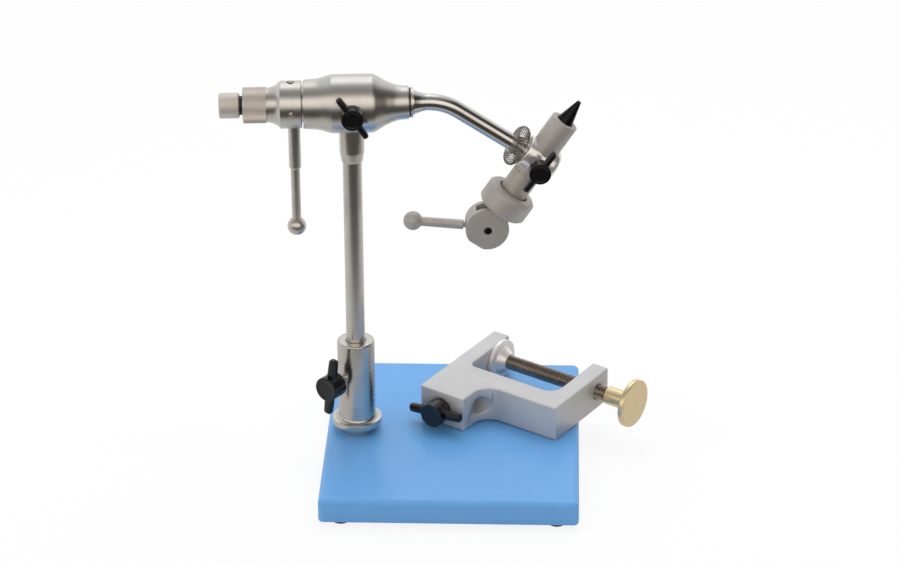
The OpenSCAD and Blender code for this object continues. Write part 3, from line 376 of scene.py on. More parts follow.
# %% [markdown]
# ## Finishes
# A finish is one Principled BSDF with a group feeding it. The group's shade moves the colour and
# the roughness a little round their middle, and its height feeds a Bump node, whose distance is
# the real depth of the marks. One material for all the steel would be simpler, but each piece was
# turned, blasted or blackened in its own way. The marks follow the piece, so the Mapping node
# undoes the piece's own matrix: rings then run round that piece's axis wherever it points.

# %% A maker of finishes
SHADE_LOW, SHADE_HIGH = 0.25, 0.75


def from_hex(text):
    """A hex colour as the eye sees it, turned into the linear numbers that shaders use."""
    values = [int(text[i:i + 2], 16) / 255 for i in (1, 3, 5)]
    return [v / 12.92 if v <= 0.04045 else ((v + 0.055) / 1.055) ** 2.4 for v in values]


def finish(name, colour, rough, marks, axis, size, metal=1.0, depth=0.00001, bump=0.3,
           spread=0.1, tint=0.12, coat=0.0, extra=None):
    """A material whose colour and roughness vary round their middle with the marks of a group."""
    made = bpy.data.materials.new(name)
    made.use_nodes = True
    tree = made.node_tree
    tree.nodes.clear()
    place = add(tree, "ShaderNodeTexCoord").outputs["Object"]
    if axis is not None:
        place = add(tree, "ShaderNodeMapping", {
            "Vector": place, "Location": axis.to_translation(), "Rotation": axis.to_euler()
        }, vector_type="TEXTURE").outputs[0]
    effect = add(tree, "ShaderNodeGroup", node_tree=marks)
    tree.links.new(place, effect.inputs["Place"])
    effect.inputs[-1].default_value = size
    for label, value in (extra or {}).items():
        effect.inputs[label].default_value = value
    shade = effect.outputs["Shade"]
    colours = add(tree, "ShaderNodeValToRGB", {0: shade})
    ends = colours.color_ramp.elements
    ends[0].position, ends[1].position = SHADE_LOW, SHADE_HIGH
    middle = from_hex(colour)
    ends[0].color = [v * (1 - tint) for v in middle] + [1]
    ends[1].color = [min(1, v * (1 + tint)) for v in middle] + [1]
    dull = between(tree, shade, SHADE_LOW, SHADE_HIGH, rough + spread / 2, rough - spread / 2)
    relief = add(tree, "ShaderNodeBump", {
        "Height": effect.outputs["Height"], "Strength": bump, "Distance": depth
    })
    shader = add(tree, "ShaderNodeBsdfPrincipled", {
        "Base Color": colours.outputs[0], "Roughness": dull, "Metallic": metal,
        "Coat Weight": coat, "Normal": relief.outputs[0],
    })
    add(tree, "ShaderNodeOutputMaterial", {0: shader.outputs[0]})
    return made


print("middle grey in linear numbers:", [round(v, 3) for v in from_hex("#808080")])

# %% Steels
satin_stem = finish("satin_stem", "#DAD6D0", 0.29, rings, STEM, 1500.0, spread=0.04, bump=0.04)
satin_head = finish("satin_head", "#DAD6D0", 0.3, rings, SHAFT, 3500.0, spread=0.07)
satin_arm = finish("satin_arm", "#E0DCD6", 0.13, grain, None, 600.0, bump=0.05)
bright_socket = finish("bright_socket", "#D1CDC7", 0.27, rings, STEM, 2500.0, bump=0.15,
                       spread=0.08)
bright_eye = finish("bright_eye", "#F2EFEA", 0.17, rings, EYE, 2500.0, bump=0.15, spread=0.06,
                    metal=0.7)
# Both knurled finishes get painted shade in the knurl's grooves and a painted highlight on its
# crests.
knurled_hub = finish("knurled_hub", "#E4DDD4", 0.34, knurl, SHAFT, 1100.0, depth=0.00012,
                     bump=0.6, tint=0.15, metal=0.6, extra={"Radius": 0.0089})
knurled_knob = finish("knurled_knob", "#D8D1C8", 0.34, knurl, SHAFT, 1300.0, depth=0.00012,
                      bump=0.6, tint=0.15, metal=0.6, extra={"Radius": 0.0063})
blasted = finish("blasted_steel", "#C1BCB7", 0.55, grain, None, 3500.0, depth=0.00006, bump=0.45,
                 spread=0.12, tint=0.08, metal=0.7)
dark_steel = finish("dark_steel", "#4B4743", 0.38, grain, None, 1500.0)
screw_steel = finish("screw_steel", "#A3968A", 0.26, rings, SPINDLE, 2500.0, tint=0.25)
pad_steel = finish("pad_steel", "#EDE9E4", 0.28, rings, SPINDLE, 2500.0, depth=0.00002, metal=0.55)
wire_steel = finish("wire_steel", "#A5A19B", 0.28, grain, None, 900.0, bump=0.1)
jaw_steel = finish("jaw_steel", "#2B2B2E", 0.36, rings, JAW, 2500.0, bump=0.4, tint=0.3)
crank_steel = finish("crank_steel", "#D8D3CC", 0.32, rings, HEAD @ shift(-28, 0, 0), 3000.0)
print("steels:", len(bpy.data.materials))

# %% Alloys, brass, plastics, rubber and paint
clamp_alloy = finish("clamp_alloy", "#C6C6C7", 0.48, grain, None, 2600.0, depth=0.00005, bump=0.4,
                     tint=0.05, metal=0.42)
brass = finish("turned_brass", "#F6DEB2", 0.3, rings, SPINDLE, 1600.0, depth=0.00004, bump=0.5,
               metal=0.85)
bronze = finish("bronze", "#B08D57", 0.45, grain, SHAFT, 2200.0, tint=0.2)
knob_plastic = finish("knob_plastic", "#101013", 0.13, grain, None, 900.0, metal=0.0,
                      depth=0.00003, bump=0.2, tint=0.3)
nylon = finish("nylon", "#232325", 0.5, grain, None, 1500.0, metal=0.0, tint=0.2)
rubber = finish("foot_rubber", "#1D1D1F", 0.75, grain, None, 1800.0, metal=0.0, depth=0.00006,
                tint=0.2)
powder_coat = finish("powder_coat", "#62A3E0", 0.4, grain, None, 1300.0, metal=0.0, depth=0.00007,
                     bump=0.35, tint=0.03, spread=0.08, coat=0.15)
print("materials:", sorted(m.name for m in bpy.data.materials))

# %% Give every carried-over solid its finish
NODE_FINISH = {
    satin_stem: ["stem", "stem_ferrule", "socket_stud"],
    satin_head: ["housing", "rotary_shaft", "rear_washer", "front_ring", "rotary_hub",
                 "tension_knob", "head_stud", "jaw_stud", "clamp_lock_stud"],
    satin_arm: ["arm"],
    bright_socket: ["socket_tube"],
    bright_eye: ["arm_eye"],
    blasted: ["jaw_tube", "adjusting_nut", "cam", "lever_rod", "lever_ball", "draw_rod"],
    dark_steel: ["socket_bolt", "cam_pin"],
    screw_steel: ["clamp_screw"],
    pad_steel: ["clamp_pad"],
    wire_steel: ["material_spring", "return_spring", "spring_washers"],
    jaw_steel: ["front_jaw", "rear_jaw"],
    crank_steel: ["crank_rod", "crank_ball", "hub_grub_screws"],
    clamp_alloy: ["clamp_frame"],
    brass: ["clamp_knob"],
    bronze: ["front_bushing", "rear_bushing"],
    knob_plastic: ["socket_knob", "head_knob", "jaw_knob", "clamp_lock_knob"],
    nylon: ["front_washer", "drag_bush"],
    rubber: ["rubber_feet"],
    powder_coat: ["base_plate"],
}
for material, names in NODE_FINISH.items():
    for name in names:
        for slot in frame["nodes"][name].material_slots:
            slot.material = material
print("dressed nodes:", sum(len(names) for names in NODE_FINISH.values()))

# %% [markdown]
# ## Pieces turned on a lathe
# Nearly every steel piece of this vise was turned from bar, so an outline beside an axis
# describes it completely. Blender's Spin or Screw tool can turn such an outline, and so can a
# Screw modifier, but a lathe function is short and closes the poles itself. Real turned edges are
# broken by a small radius that catches the light, so a first helper rounds every corner of the
# outline, a second draws a smooth curve through points where the tool moved on a curve, and a
# third gives the ball at the end of a lever.

# %% Outlines with rounded corners, smooth lines and balls
def rounded(outline, radius, steps=4):
    """The outline, in millimetres, with its inner corners turned into short curves."""
    made = [outline[0]]
    for before, corner, after in zip(outline, outline[1:], outline[2:]):
        corner = Vector(corner)
        to_before, to_after = Vector(before) - corner, Vector(after) - corner
        reach = min(radius, to_before.length * 0.45, to_after.length * 0.45)
        start = corner + to_before.normalized() * reach
        end = corner + to_after.normalized() * reach
        for i in range(steps + 1):
            t = i / steps
            made.append(tuple(start * (1 - t) ** 2 + corner * 2 * t * (1 - t) + end * t * t))
    made.append(outline[-1])
    return made


def smooth_line(points, steps=4):
    """A smooth curve through all the points, which leaves each in the line of its neighbours."""
    points = [Vector(p) for p in points]
    made = []
    for i in range(len(points) - 1):
        a, b = points[i], points[i + 1]
        before, after = points[max(i - 1, 0)], points[min(i + 2, len(points) - 1)]
        for k in range(steps):
            t = k / steps
            made.append(tuple(
                a * (2 * t ** 3 - 3 * t ** 2 + 1) + b * (3 * t ** 2 - 2 * t ** 3)
                + (b - before) * 0.5 * (t ** 3 - 2 * t ** 2 + t)
                + (after - a) * 0.5 * (t ** 3 - t ** 2)
            ))
    made.append(tuple(points[-1]))
    return made


def ball_line(radius, middle, way, stop):
    """The outline of a ball from its far pole back towards the rod; way is 1 or -1 along z."""
    leans = [math.radians(v) for v in range(0, stop, 4)]
    return [(radius * math.sin(a), middle + way * radius * math.cos(a)) for a in leans]


print("a square corner becomes", len(rounded([(0, 0), (1, 0), (1, 1)], 0.2)), "points")

# %% From loose faces to a finished object
def settle(piece, sharp=35):
    """Faces are shaded smooth, and edges steeper than the angle stay crisp."""
    piece.data.shade_smooth()
    piece.data.set_sharp_from_angle(angle=math.radians(sharp))
    return piece


def kept_object(name, work, material):
    """An object at the origin made from a bmesh, with one material."""
    mesh = bpy.data.meshes.new(name)
    work.to_mesh(mesh)
    work.free()
    mesh.materials.append(material)
    return new_object(name, mesh)


def new_piece(name, work, place, material):
    """Carries a bmesh in metres to its place, closes it and turns its faces outwards."""
    bmesh.ops.remove_doubles(work, verts=work.verts, dist=1e-7)
    bmesh.ops.transform(work, matrix=place, verts=work.verts)
    bmesh.ops.recalc_face_normals(work, faces=work.faces)
    return settle(kept_object(name, work, material))


def stands_for(piece, body, slot, *nodes):
    """The piece moves with a body and hides the solids it stands for; slot is not used."""
    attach(piece, body)
    if nodes:
        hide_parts(*nodes)
    print(piece.name, "rides on", body, "with", len(piece.data.polygons), "faces")


# %% The lathe
FULL_TURN = 2 * math.pi


def circle_angles(sides):
    """Even angles round a circle."""
    return [FULL_TURN * side / sides for side in range(sides)]


def turned(name, place, outline, material, sides=96, hollow=False):
    """Turns an outline of (radius, along) points in millimetres about the z of a place."""
    work = bmesh.new()
    rounds = []
    for radius, along in outline:
        if radius < 1e-6:
            rounds.append([work.verts.new((0, 0, along * MM))])
            continue
        wide = radius * MM
        rounds.append([
            work.verts.new((wide * math.cos(angle), wide * math.sin(angle), along * MM))
            for angle in circle_angles(sides)
        ])
    pairs = list(zip(rounds, rounds[1:])) + ([(rounds[-1], rounds[0])] if hollow else [])
    for low, high in pairs:
        for side in range(sides):
            after = (side + 1) % sides
            corners = [low[side % len(low)], low[after % len(low)],
                       high[after % len(high)], high[side % len(high)]]
            corners = list(dict.fromkeys(corners))
            if len(corners) > 2:
                work.faces.new(corners)
    return new_piece(name, work, place, material)


def finished_mesh(piece):
    """The piece's modifiers become its plain mesh."""
    seen = piece.evaluated_get(bpy.context.evaluated_depsgraph_get())
    mesh = bpy.data.meshes.new_from_object(seen)
    piece.modifiers.clear()
    piece.data = mesh
    return piece


def joined(piece, tool, operation="DIFFERENCE"):
    """Cuts a tool out of a piece, or welds it on, and throws the tool away."""
    step = piece.modifiers.new("joined", "BOOLEAN")
    step.object, step.operation, step.solver = tool, operation, "EXACT"
    finished_mesh(piece)
    bpy.data.objects.remove(tool)
    settle(piece)


def drill(piece, place, radius, low, high):
    """A straight hole about the local z of a place."""
    tool = turned("drill", place, [(0, low), (radius, low), (radius, high), (0, high)],
                  piece.data.materials[0], 64)
    joined(piece, tool)


print("points round a turned piece:", len(circle_angles(96)))

# %% [markdown]
# ## Socket tube, stem ferrule and crank
# The socket tube carries the whole vise: a flange rests on the plate, a hollow fillet leads up
# into the tube, and its rim is turned to a soft shoulder. The ferrule is the thicker sleeve on
# which the head sits. Both could be cylinders joined by Booleans, but an outline gives fillet and
# shoulder in one go, so only the hole for the thumb screw is cut. The crank is a stepped rod with
# a ball at its end.

# %% Socket tube
PLATE_TOP = 15.2
STEM_BORE = 4.8125
STUD_HOLE = 2.25
cove = [(11.525 - 2 * math.cos(a), 9.3 - 2 * math.sin(a)) for a in (
    math.radians(v) for v in range(90, -1, -10)
)]
socket_line = rounded(
    [(3.15, 0), (9.5, 0), (9.5, 4.2), (12.7, 4.2), (12.7, 7.3), (11.7, 7.3)], 0.3
) + cove[1:] + rounded(
    [(9.525, 12), (9.525, 51.4), (5.4, 51.4), (STEM_BORE, 50.8), (STEM_BORE, 11.8)], 1.3, 7
)[1:] + [(0, 11.8), (0, 8.6), (3.15, 8.6)]
socket = turned("socket_tube_turned", STEM @ shift(0, 0, PLATE_TOP), socket_line, bright_socket,
                hollow=True)
drill(socket, SOCKET_SCREW, STUD_HOLE, 0.5, 12)
stands_for(socket, "base", "polished_steel", "socket_tube")

# %% Ferrule under the head
ferrule = turned("ferrule_turned", STEM, rounded([
    (STEM_BORE, 166.8), (5.3, 166.8), (6.2, 172.2), (6.2, 186.4), (0, 186.4), (0, 182.1),
    (STEM_BORE, 182.1)
], 0.35), satin_stem, hollow=True)
stands_for(ferrule, "head", "satin_steel", "stem_ferrule")

# %% Crank rod and ball
CRANK = HEAD @ shift(-28.3, 0, 0)
CRANK_LONG = 66
crank = turned("crank_rod_turned", CRANK, rounded([
    (0, -CRANK_LONG), (2.3, -CRANK_LONG), (2.3, -34.2), (3, -33.5), (3, -9.2), (2.6, -8.3),
    (0, -8.3)
], 0.3), crank_steel)
stands_for(crank, "rotor", "satin_steel", "crank_rod")
ball = ball_line(4.7, -CRANK_LONG, -1, 152)
ball += [(2.32, ball[-1][1] - 0.2), (2.32, -CRANK_LONG - 0.02), (0, -CRANK_LONG - 0.02)]
crank_ball = turned("crank_ball_turned", CRANK, ball, crank_steel)
stands_for(crank_ball, "rotor", "satin_steel", "crank_ball")

# %% [markdown]
# ## The rotary head
# The housing is the largest turned piece: its sides swell, run straight and draw in again to a
# collar. A box with a Subdivision Surface could give the swelling, but then its measured widths
# would shrink. A smooth line through measured points keeps them. The points are shares of the
# length and of the radius. The hub beside it turns with the arm, so fingers need a grip there,
# and its rear half carries fine straight ribs.

# %% Housing
def scaled_line(points, start, length, radius, steps):
    """A smooth line through (share of the length, share of the radius) points."""
    return smooth_line([(s * radius, t * length + start) for t, s in points], steps)


HOUSING_FROM, HOUSING_TO = -23.5, 28.6
housing_line = scaled_line((
    (0, 0.82), (0.012, 0.834), (0.114, 0.862), (0.165, 0.892), (0.209, 0.938), (0.256, 0.986),
    (0.281, 1), (0.46, 1.002), (0.636, 1), (0.66, 0.988), (0.682, 0.959), (0.731, 0.855),
    (0.777, 0.759), (0.826, 0.683), (0.872, 0.621), (0.921, 0.586), (0.967, 0.572),
    (0.985, 0.572), (1, 0.555),
), HOUSING_FROM, HOUSING_TO - HOUSING_FROM, 14.5, 5)
housing_line = [(6.52, HOUSING_FROM)] + housing_line + [(6.52, HOUSING_TO)]
housing = turned("housing_turned", SHAFT, housing_line, satin_head, 128, hollow=True)
drill(housing, STEM @ shift(0, 0, HEAD_HEIGHT), 6.22, -16, -11.08)
drill(housing, HEAD_SCREW, STUD_HOLE, 6, 16)
stands_for(housing, "head", "satin_steel", "housing")

# %% Hub
HUB_FROM = -53.2
hub_line = rounded([(7, HUB_FROM), (8.45, HUB_FROM), (8.66, -52.9), (8.66, -41.5)], 0.3)
hub_line += scaled_line((
    (0.413, 0.72), (0.448, 0.729), (0.49, 0.76), (0.535, 0.797), (0.58, 0.86), (0.615, 0.94),
    (0.633, 0.985), (0.65, 1), (0.8, 1), (0.975, 1), (0.99, 0.985), (1, 0.955),
), HUB_FROM, 29, 11.8, 4)
hub_line += [(4.77, -24.2), (4.77, -47.2), (7, -47.2)]
hub = turned("hub_turned", SHAFT, hub_line, satin_head, 128, hollow=True)
for aim in (Matrix.Identity(4), turn(90, "X")):
    drill(hub, HEAD @ shift(-29.5, 0, 0) @ aim, 2.02, 4, 13)
drill(hub, CRANK, 3.02, -13, -8.26)
stands_for(hub, "rotor", "satin_steel", "rotary_hub")

# %% Tension knob behind the hub
knob_line = [(0, -62.1), (3.55, -62.1)] + rounded([
    (3.55, -54.8), (5.75, -54.8), (6.3, -55.4), (6.3, -64.2), (5.6, -64.9), (3.15, -64.9),
    (3.15, -63.4), (0, -63.4)
], 0.35)
tension = turned("tension_knob_turned", SHAFT, knob_line, knurled_knob)
stands_for(tension, "tension", "satin_steel", "tension_knob")

# %% [markdown]
# ## The bent arm and its eye
# The arm was turned with a flare at its root and then bent. A curve with a bevel would follow the
# bend, and its point radius could give the flare, but a sweep in code keeps the measured radii
# exactly. The path is a straight run, an arc and a second straight run, and each ring of points
# stands square to it. The eye at its end is a short turned barrel with a cross hole for the jaws.

# %% Loft rings of points and sweep a round bar
def lofted(name, place, loops, material):
    """A closed skin through loops that all have the same number of points, in millimetres."""
    work = bmesh.new()
    loops = [[work.verts.new([v * MM for v in point]) for point in loop] for loop in loops]
    for low, high in zip(loops, loops[1:]):
        for side in range(len(low)):
            after = (side + 1) % len(low)
            work.faces.new((low[side], low[after], high[after], high[side]))
    work.faces.new(loops[0])
    work.faces.new(loops[-1])
    return new_piece(name, work, place, material)


def swept(name, place, stations, material, sides=48):
    """A bar through (x, z, direction in degrees, radius) stations in the local upright plane."""
    loops = []
    for x, z, down, radius in stations:
        lean = math.radians(down)
        loops.append([
            (x + radius * math.cos(a) * math.sin(lean), radius * math.sin(a),
             z + radius * math.cos(a) * math.cos(lean)) for a in circle_angles(sides)
        ])
    return lofted(name, place, loops, material)


print("points round the arm:", len(circle_angles(48)))

# %% Arm
ARM_ROOT, BEND_FROM, BEND_RADIUS = 30.5, 37.545, 27
ARM_RADIUS, ARM_SPIGOT = 4.13, 3.1
flare = smooth_line([(ARM_ROOT + t * (BEND_FROM - ARM_ROOT), ARM_RADIUS * s) for t, s in (
    (0, 1.51), (0.07, 1.5), (0.16, 1.42), (0.26, 1.345), (0.35, 1.28), (0.44, 1.22),
    (0.53, 1.17), (0.63, 1.12), (0.72, 1.08), (0.81, 1.05), (0.9, 1.02), (1, 1.005),
)], 2)
stations = [(ARM_ROOT - 9.3, 0, 0, ARM_SPIGOT), (ARM_ROOT, 0, 0, ARM_SPIGOT)]
stations += [(x, 0, 0, radius) for x, radius in flare]
for step in range(1, 21):
    down = ARM_DROP * step / 20
    lean = math.radians(down)
    stations.append((BEND_FROM + BEND_RADIUS * math.sin(lean), BEND_RADIUS * (math.cos(lean) - 1),
                     down, 4.15))
end_x, end_z = stations[-1][:2]
lean = math.radians(ARM_DROP)
for run in (1, 20, 39.73):
    stations.append((end_x + run * math.cos(lean), end_z - run * math.sin(lean), ARM_DROP,
                     ARM_RADIUS))
arm = swept("arm_bent", HEAD, stations, satin_arm)
stands_for(arm, "rotor", "polished_steel", "arm")

# %% Eye for the jaw tube
eye = turned("eye_turned", EYE, rounded([
    (0, -8.6), (8.5, -8.6), (8.5, 7.4), (7.84, 8.94), (6.3, 9.6), (0, 9.6)
], 0.8, 5), bright_eye)
drill(eye, JAW, 7.15, 30, 60)
drill(eye, EYE, 4.17, -9.6, -8.1)
drill(eye, JAW_SCREW, STUD_HOLE, 3, 11)
stands_for(eye, "rotor", "polished_steel", "arm_eye")

# %% [markdown]
# ## Jaw tube, adjusting nut and cam
# The jaw tube, the ring nut, the cam and its lever are blasted with fine grit, so they are matt
# and pale beside the satin arm. The tube and the nut are turned. The cam is milled and slotted.
# It could be drawn again and cut with Booleans, but the solid already has the right shape, so a
# copy of it is merged and its edges get a small Bevel.

# %% Jaw tube
tube_line = rounded([
    (2.3, 15), (7.1, 15), (7.1, 35.1), (6.87, 35.35), (7.1, 35.6), (7.1, 68.6), (4.4, 68.6)
], 0.5, 3) + [(3.6, 59.6), (3.6, 21), (2.3, 21)]
tube = turned("jaw_tube_turned", JAW, tube_line, blasted, hollow=True)
stands_for(tube, "jaw_barrel", "blasted_steel", "jaw_tube")

# %% Adjusting nut
nut_line = rounded([
    (2.3, 11.42), (11.25, 11.42), (12.85, 13.02), (12.85, 21.82), (11.25, 23.42), (7.9, 23.42),
    (7.9, 19.42), (7.15, 19.42), (7.15, 14.42)
], 0.45) + [(2.3, 14.42)]
nut = turned("adjusting_nut_turned", JAW, nut_line, blasted, hollow=True)
stands_for(nut, "nut", "blasted_steel", "adjusting_nut")

# %% Lever and its ball
LEVER_LONG = 37.7
lever = turned("lever_turned", LEVER, rounded([
    (0, 6.8), (1.4, 6.8), (1.4, 12.2), (2.4, 12.2), (2.45, 14), (2.3, LEVER_LONG), (0, LEVER_LONG)
], 0.35), blasted)
stands_for(lever, "cam_lever", "blasted_steel", "lever_rod")
ball = ball_line(4.8, LEVER_LONG, 1, 150)
ball += [(2.33, 33.5), (2.33, LEVER_LONG - 0.02), (0, LEVER_LONG - 0.02)]
lever_ball = turned("lever_ball_turned", LEVER, ball, blasted)
stands_for(lever_ball, "cam_lever", "blasted_steel", "lever_ball")

# %% A solid's copy with its edges rounded
def softened(node, name, width, material, segments=3, angle=30):
    """A merged copy of a carried-over solid with a Bevel on its edges, as a plain mesh."""
    work = bmesh.new()
    work.from_mesh(frame["nodes"][node].data)
    bmesh.ops.remove_doubles(work, verts=work.verts, dist=1e-6)
    bmesh.ops.dissolve_limit(work, angle_limit=math.radians(0.5), verts=work.verts,
                             edges=work.edges)
    piece = kept_object(name, work, material)
    piece.data.shade_smooth()
    bevel = piece.modifiers.new("soft_edges", "BEVEL")
    bevel.width, bevel.segments = width * MM, segments
    bevel.limit_method, bevel.angle_limit = "ANGLE", math.radians(angle)
    bevel.harden_normals, bevel.use_clamp_overlap = True, False
    return finished_mesh(piece)


cam = softened("cam", "cam_milled", 0.4, blasted)
stands_for(cam, "cam_lever", "blasted_steel", "cam")

# %% [markdown]
# ## Thumb knobs
# Four black moulded knobs lock the stem, the head, the jaw tube and the clamp. Each has a round
# hub with a slightly dished face and two blunt wings. They could be carved from one subdivided
# box, but moulded knobs have crisp shoulders where wing meets hub. So the hub is turned, one bar
# is lofted right through it for both wings, and a Boolean welds the two.

# %% One knob from a hub and a bar
WING_HALF = ((0, 1.12), (0.45, 1.08), (0.9, 1), (0.955, 0.93), (0.985, 0.75), (1, 0.45))
WING_LINE = [(-share, wide) for share, wide in WING_HALF[:0:-1]] + list(WING_HALF)
BLUNTNESS = 3.2


def wing_bar(name, place, span, wide, thick, middle, material):
    """A bar along x with rounded sides and blunt ends, narrowing a little outwards."""
    loops = []
    for share, shrink in WING_LINE:
        loop = []
        for angle in circle_angles(24):
            across, up = math.cos(angle), math.sin(angle)
            flat = (abs(across) ** BLUNTNESS + abs(up) ** BLUNTNESS) ** (-1 / BLUNTNESS)
            loop.append((share * span / 2, wide / 2 * shrink * flat * across,
                         middle + thick / 2 * shrink * flat * up))
        loops.append(loop)
    return lofted(name, place, loops, material)


def thumb_knob(name, screw, reach, body, node, hub, deep, span, wide):
    """A knob whose outer face stands at reach along its screw's place."""
    place = screw @ shift(0, 0, reach)
    knob = turned(name, place, rounded([
        (0, -0.25), (hub * 0.34, -0.25), (hub * 0.4, 0), (hub / 2, 0),
        (hub / 2 * 0.985, -deep * 0.55), (hub / 2, -deep * 0.62), (hub / 2, -deep), (0, -deep)
    ], 0.5), knob_plastic, 72)
    joined(knob, wing_bar("bar", place, span, wide, 4, -deep / 2, knob_plastic), "UNION")
    drill(knob, place, 2.22, -deep - 1, -deep * 0.4)
    stands_for(knob, body, "knob_plastic", node)


BIG, SMALL = (13, 9.2, 32, 4.5), (11, 6.4, 25, 3)
thumb_knob("socket_knob_moulded", SOCKET_SCREW, 25.2, "socket_lock", "socket_knob", *BIG)
thumb_knob("head_knob_moulded", HEAD_SCREW, 21.5, "head_lock", "head_knob", *SMALL)
thumb_knob("jaw_knob_moulded", JAW_SCREW, 20, "jaw_lock", "jaw_knob", *SMALL)
thumb_knob("clamp_knob_moulded", CLAMP_SCREW, 9.7, "clamp_lock", "clamp_lock_knob", *BIG)

# %% [markdown]
# ## What repeats: spring, ribs and thread
# The garter spring is one wire wound round a ring, the hub's grip is one rib repeated round its
# axis, and the clamp's screw is one groove climbing a rod. Each follows a rule with a few
# numbers, so Geometry Nodes suit them: the numbers are named inputs, and another spring needs
# only other values. An Array modifier could repeat the rib, but not wind the wire. The modifier's
# inputs are set by their identifiers before the tree is first evaluated, and the result is then
# kept as a plain mesh.

# %% End a tree and keep its result as a mesh
COUNT = "NodeSocketInt"
FINISH = ("Finish", "NodeSocketMaterial", None)
MESH = [("Mesh", "NodeSocketGeometry")]


def end_tree(tree, faces, given, result):
    """Ends a tree in real faces that wear the finish it was given."""
    real = add(tree, "GeometryNodeRealizeInstances", {"Geometry": faces}).outputs[0]
    dressed = add(tree, "GeometryNodeSetMaterial", {"Geometry": real, "Material": given["Finish"]})
    tree.links.new(dressed.outputs[0], result["Mesh"])
    print(tree.name, "has", len(tree.nodes), "nodes")


def grown(name, tree, values, place, sharp=35):
    """A piece grown by a Geometry Nodes tree from named values, moved to its place."""
    piece = new_object(name, bpy.data.meshes.new(name + "_start"))
    modifier = piece.modifiers.new("tree", "NODES")
    modifier.node_group = tree
    for socket in tree.interface.items_tree:
        if socket.in_out == "INPUT" and socket.name in values:
            modifier[socket.identifier] = values[socket.name]
    finished_mesh(piece)
    piece.data.transform(place)
    return settle(piece, sharp)


print("sockets:", COUNT, FINISH[1], MESH[0][1])

# %% Tree: a wire wound round a ring
winding, given, result = new_group("garter_winding", "GeometryNodeTree", [
    ("Ring radius", NUMBER, 0.0075), ("Curl radius", NUMBER, 0.0029), ("Curls", COUNT, 44),
    ("Points in a curl", COUNT, 12), ("Wire radius", NUMBER, 0.0002), FINISH,
], MESH)
total = maths(winding, "MULTIPLY", given["Curls"], given["Points in a curl"])
line = add(winding, "GeometryNodeMeshLine", {"Count": total})
line = add(winding, "GeometryNodeMeshToCurve", {"Mesh": line.outputs[0]})
number = add(winding, "GeometryNodeInputIndex").outputs[0]
round_ring = maths(winding, "MULTIPLY", maths(winding, "DIVIDE", number, total), FULL_TURN)
curls_so_far = maths(winding, "DIVIDE", number, given["Points in a curl"])
round_curl = maths(winding, "MULTIPLY", curls_so_far, FULL_TURN)
far = maths(winding, "MULTIPLY_ADD", maths(winding, "COSINE", round_curl),
            given["Curl radius"], given["Ring radius"])
spot = vector_of(
    winding, maths(winding, "MULTIPLY", far, maths(winding, "COSINE", round_ring)),
    maths(winding, "MULTIPLY", far, maths(winding, "SINE", round_ring)),
    maths(winding, "MULTIPLY", maths(winding, "SINE", round_curl), given["Curl radius"])
)
path = add(winding, "GeometryNodeSetPosition", {"Geometry": line.outputs[0], "Position": spot})
path = add(winding, "GeometryNodeSetSplineCyclic", {"Geometry": path.outputs[0], "Cyclic": True})
section = add(winding, "GeometryNodeCurvePrimitiveCircle", {
    "Resolution": 6, "Radius": given["Wire radius"]
})
wire = add(winding, "GeometryNodeCurveToMesh", {
    "Curve": path.outputs[0], "Profile Curve": section.outputs[0]
})
end_tree(winding, wire.outputs[0], given, result)

garter = grown("garter_spring", winding, {
    "Ring radius": 0.0075, "Curl radius": 0.0029, "Curls": 44, "Points in a curl": 12,
    "Wire radius": 0.0002, "Finish": wire_steel,
}, JAW @ shift(-12.6, 0, 44.7) @ turn(86, "Y"), 80)
stands_for(garter, "rotor", "spring_steel", "material_spring")

# %% Tree: straight ribs round an axis
ribbing, given, result = new_group("straight_ribs", "GeometryNodeTree", [
    ("Ribs", COUNT, 64), ("Radius", NUMBER, 0.0085), ("Length", NUMBER, 0.011),
    ("Rib width", NUMBER, 0.0008), FINISH,
], MESH)
circle = add(ribbing, "GeometryNodeMeshCircle", {
    "Vertices": given["Ribs"], "Radius": given["Radius"]
})
rib = add(ribbing, "GeometryNodeMeshCylinder", {
    "Vertices": 4, "Radius": maths(ribbing, "MULTIPLY", given["Rib width"], 0.5),
    "Depth": given["Length"],
})
here = parts_of(ribbing, add(ribbing, "GeometryNodeInputPosition").outputs[0])
facing = vector_of(ribbing, 0.0, 0.0, maths(ribbing, "ARCTAN2", here["Y"], here["X"]))
copies = add(ribbing, "GeometryNodeInstanceOnPoints", {
    "Points": circle.outputs[0], "Instance": rib.outputs[0], "Rotation": facing
})
end_tree(ribbing, copies.outputs[0], given, result)

ribs = grown("hub_ribs", ribbing, {
    "Ribs": 88, "Radius": 0.00862, "Length": 0.0112, "Rib width": 0.0006, "Finish": knurled_hub,
}, SHAFT @ shift(0, 0, -47.2))
stands_for(ribs, "rotor", "satin_steel")

# %% Tree: a screw thread as one closed skin
threading, given, result = new_group("screw_thread", "GeometryNodeTree", [
    ("Radius", NUMBER, 0.004), ("Depth", NUMBER, 0.0008), ("Pitch", NUMBER, 0.0013),
    ("Length", NUMBER, 0.06), ("Rings", COUNT, 300), FINISH,
], MESH)
bar = add(threading, "GeometryNodeMeshCylinder", {
    "Vertices": 32, "Side Segments": given["Rings"], "Radius": given["Radius"],
    "Depth": given["Length"],
})
here = parts_of(threading, add(threading, "GeometryNodeInputPosition").outputs[0])
climb = maths(threading, "DIVIDE", here["Z"], given["Pitch"])
around = maths(threading, "DIVIDE", maths(threading, "ARCTAN2", here["Y"], here["X"]), FULL_TURN)
wave = maths(threading, "PINGPONG", maths(threading, "SUBTRACT", climb, around), 0.5)
crest = maths(threading, "MULTIPLY", wave, 2.0)
sunk = maths(threading, "MULTIPLY", crest, given["Depth"])
sunk = maths(threading, "DIVIDE", sunk, given["Radius"])
narrow = maths(threading, "SUBTRACT", 1.0, sunk)
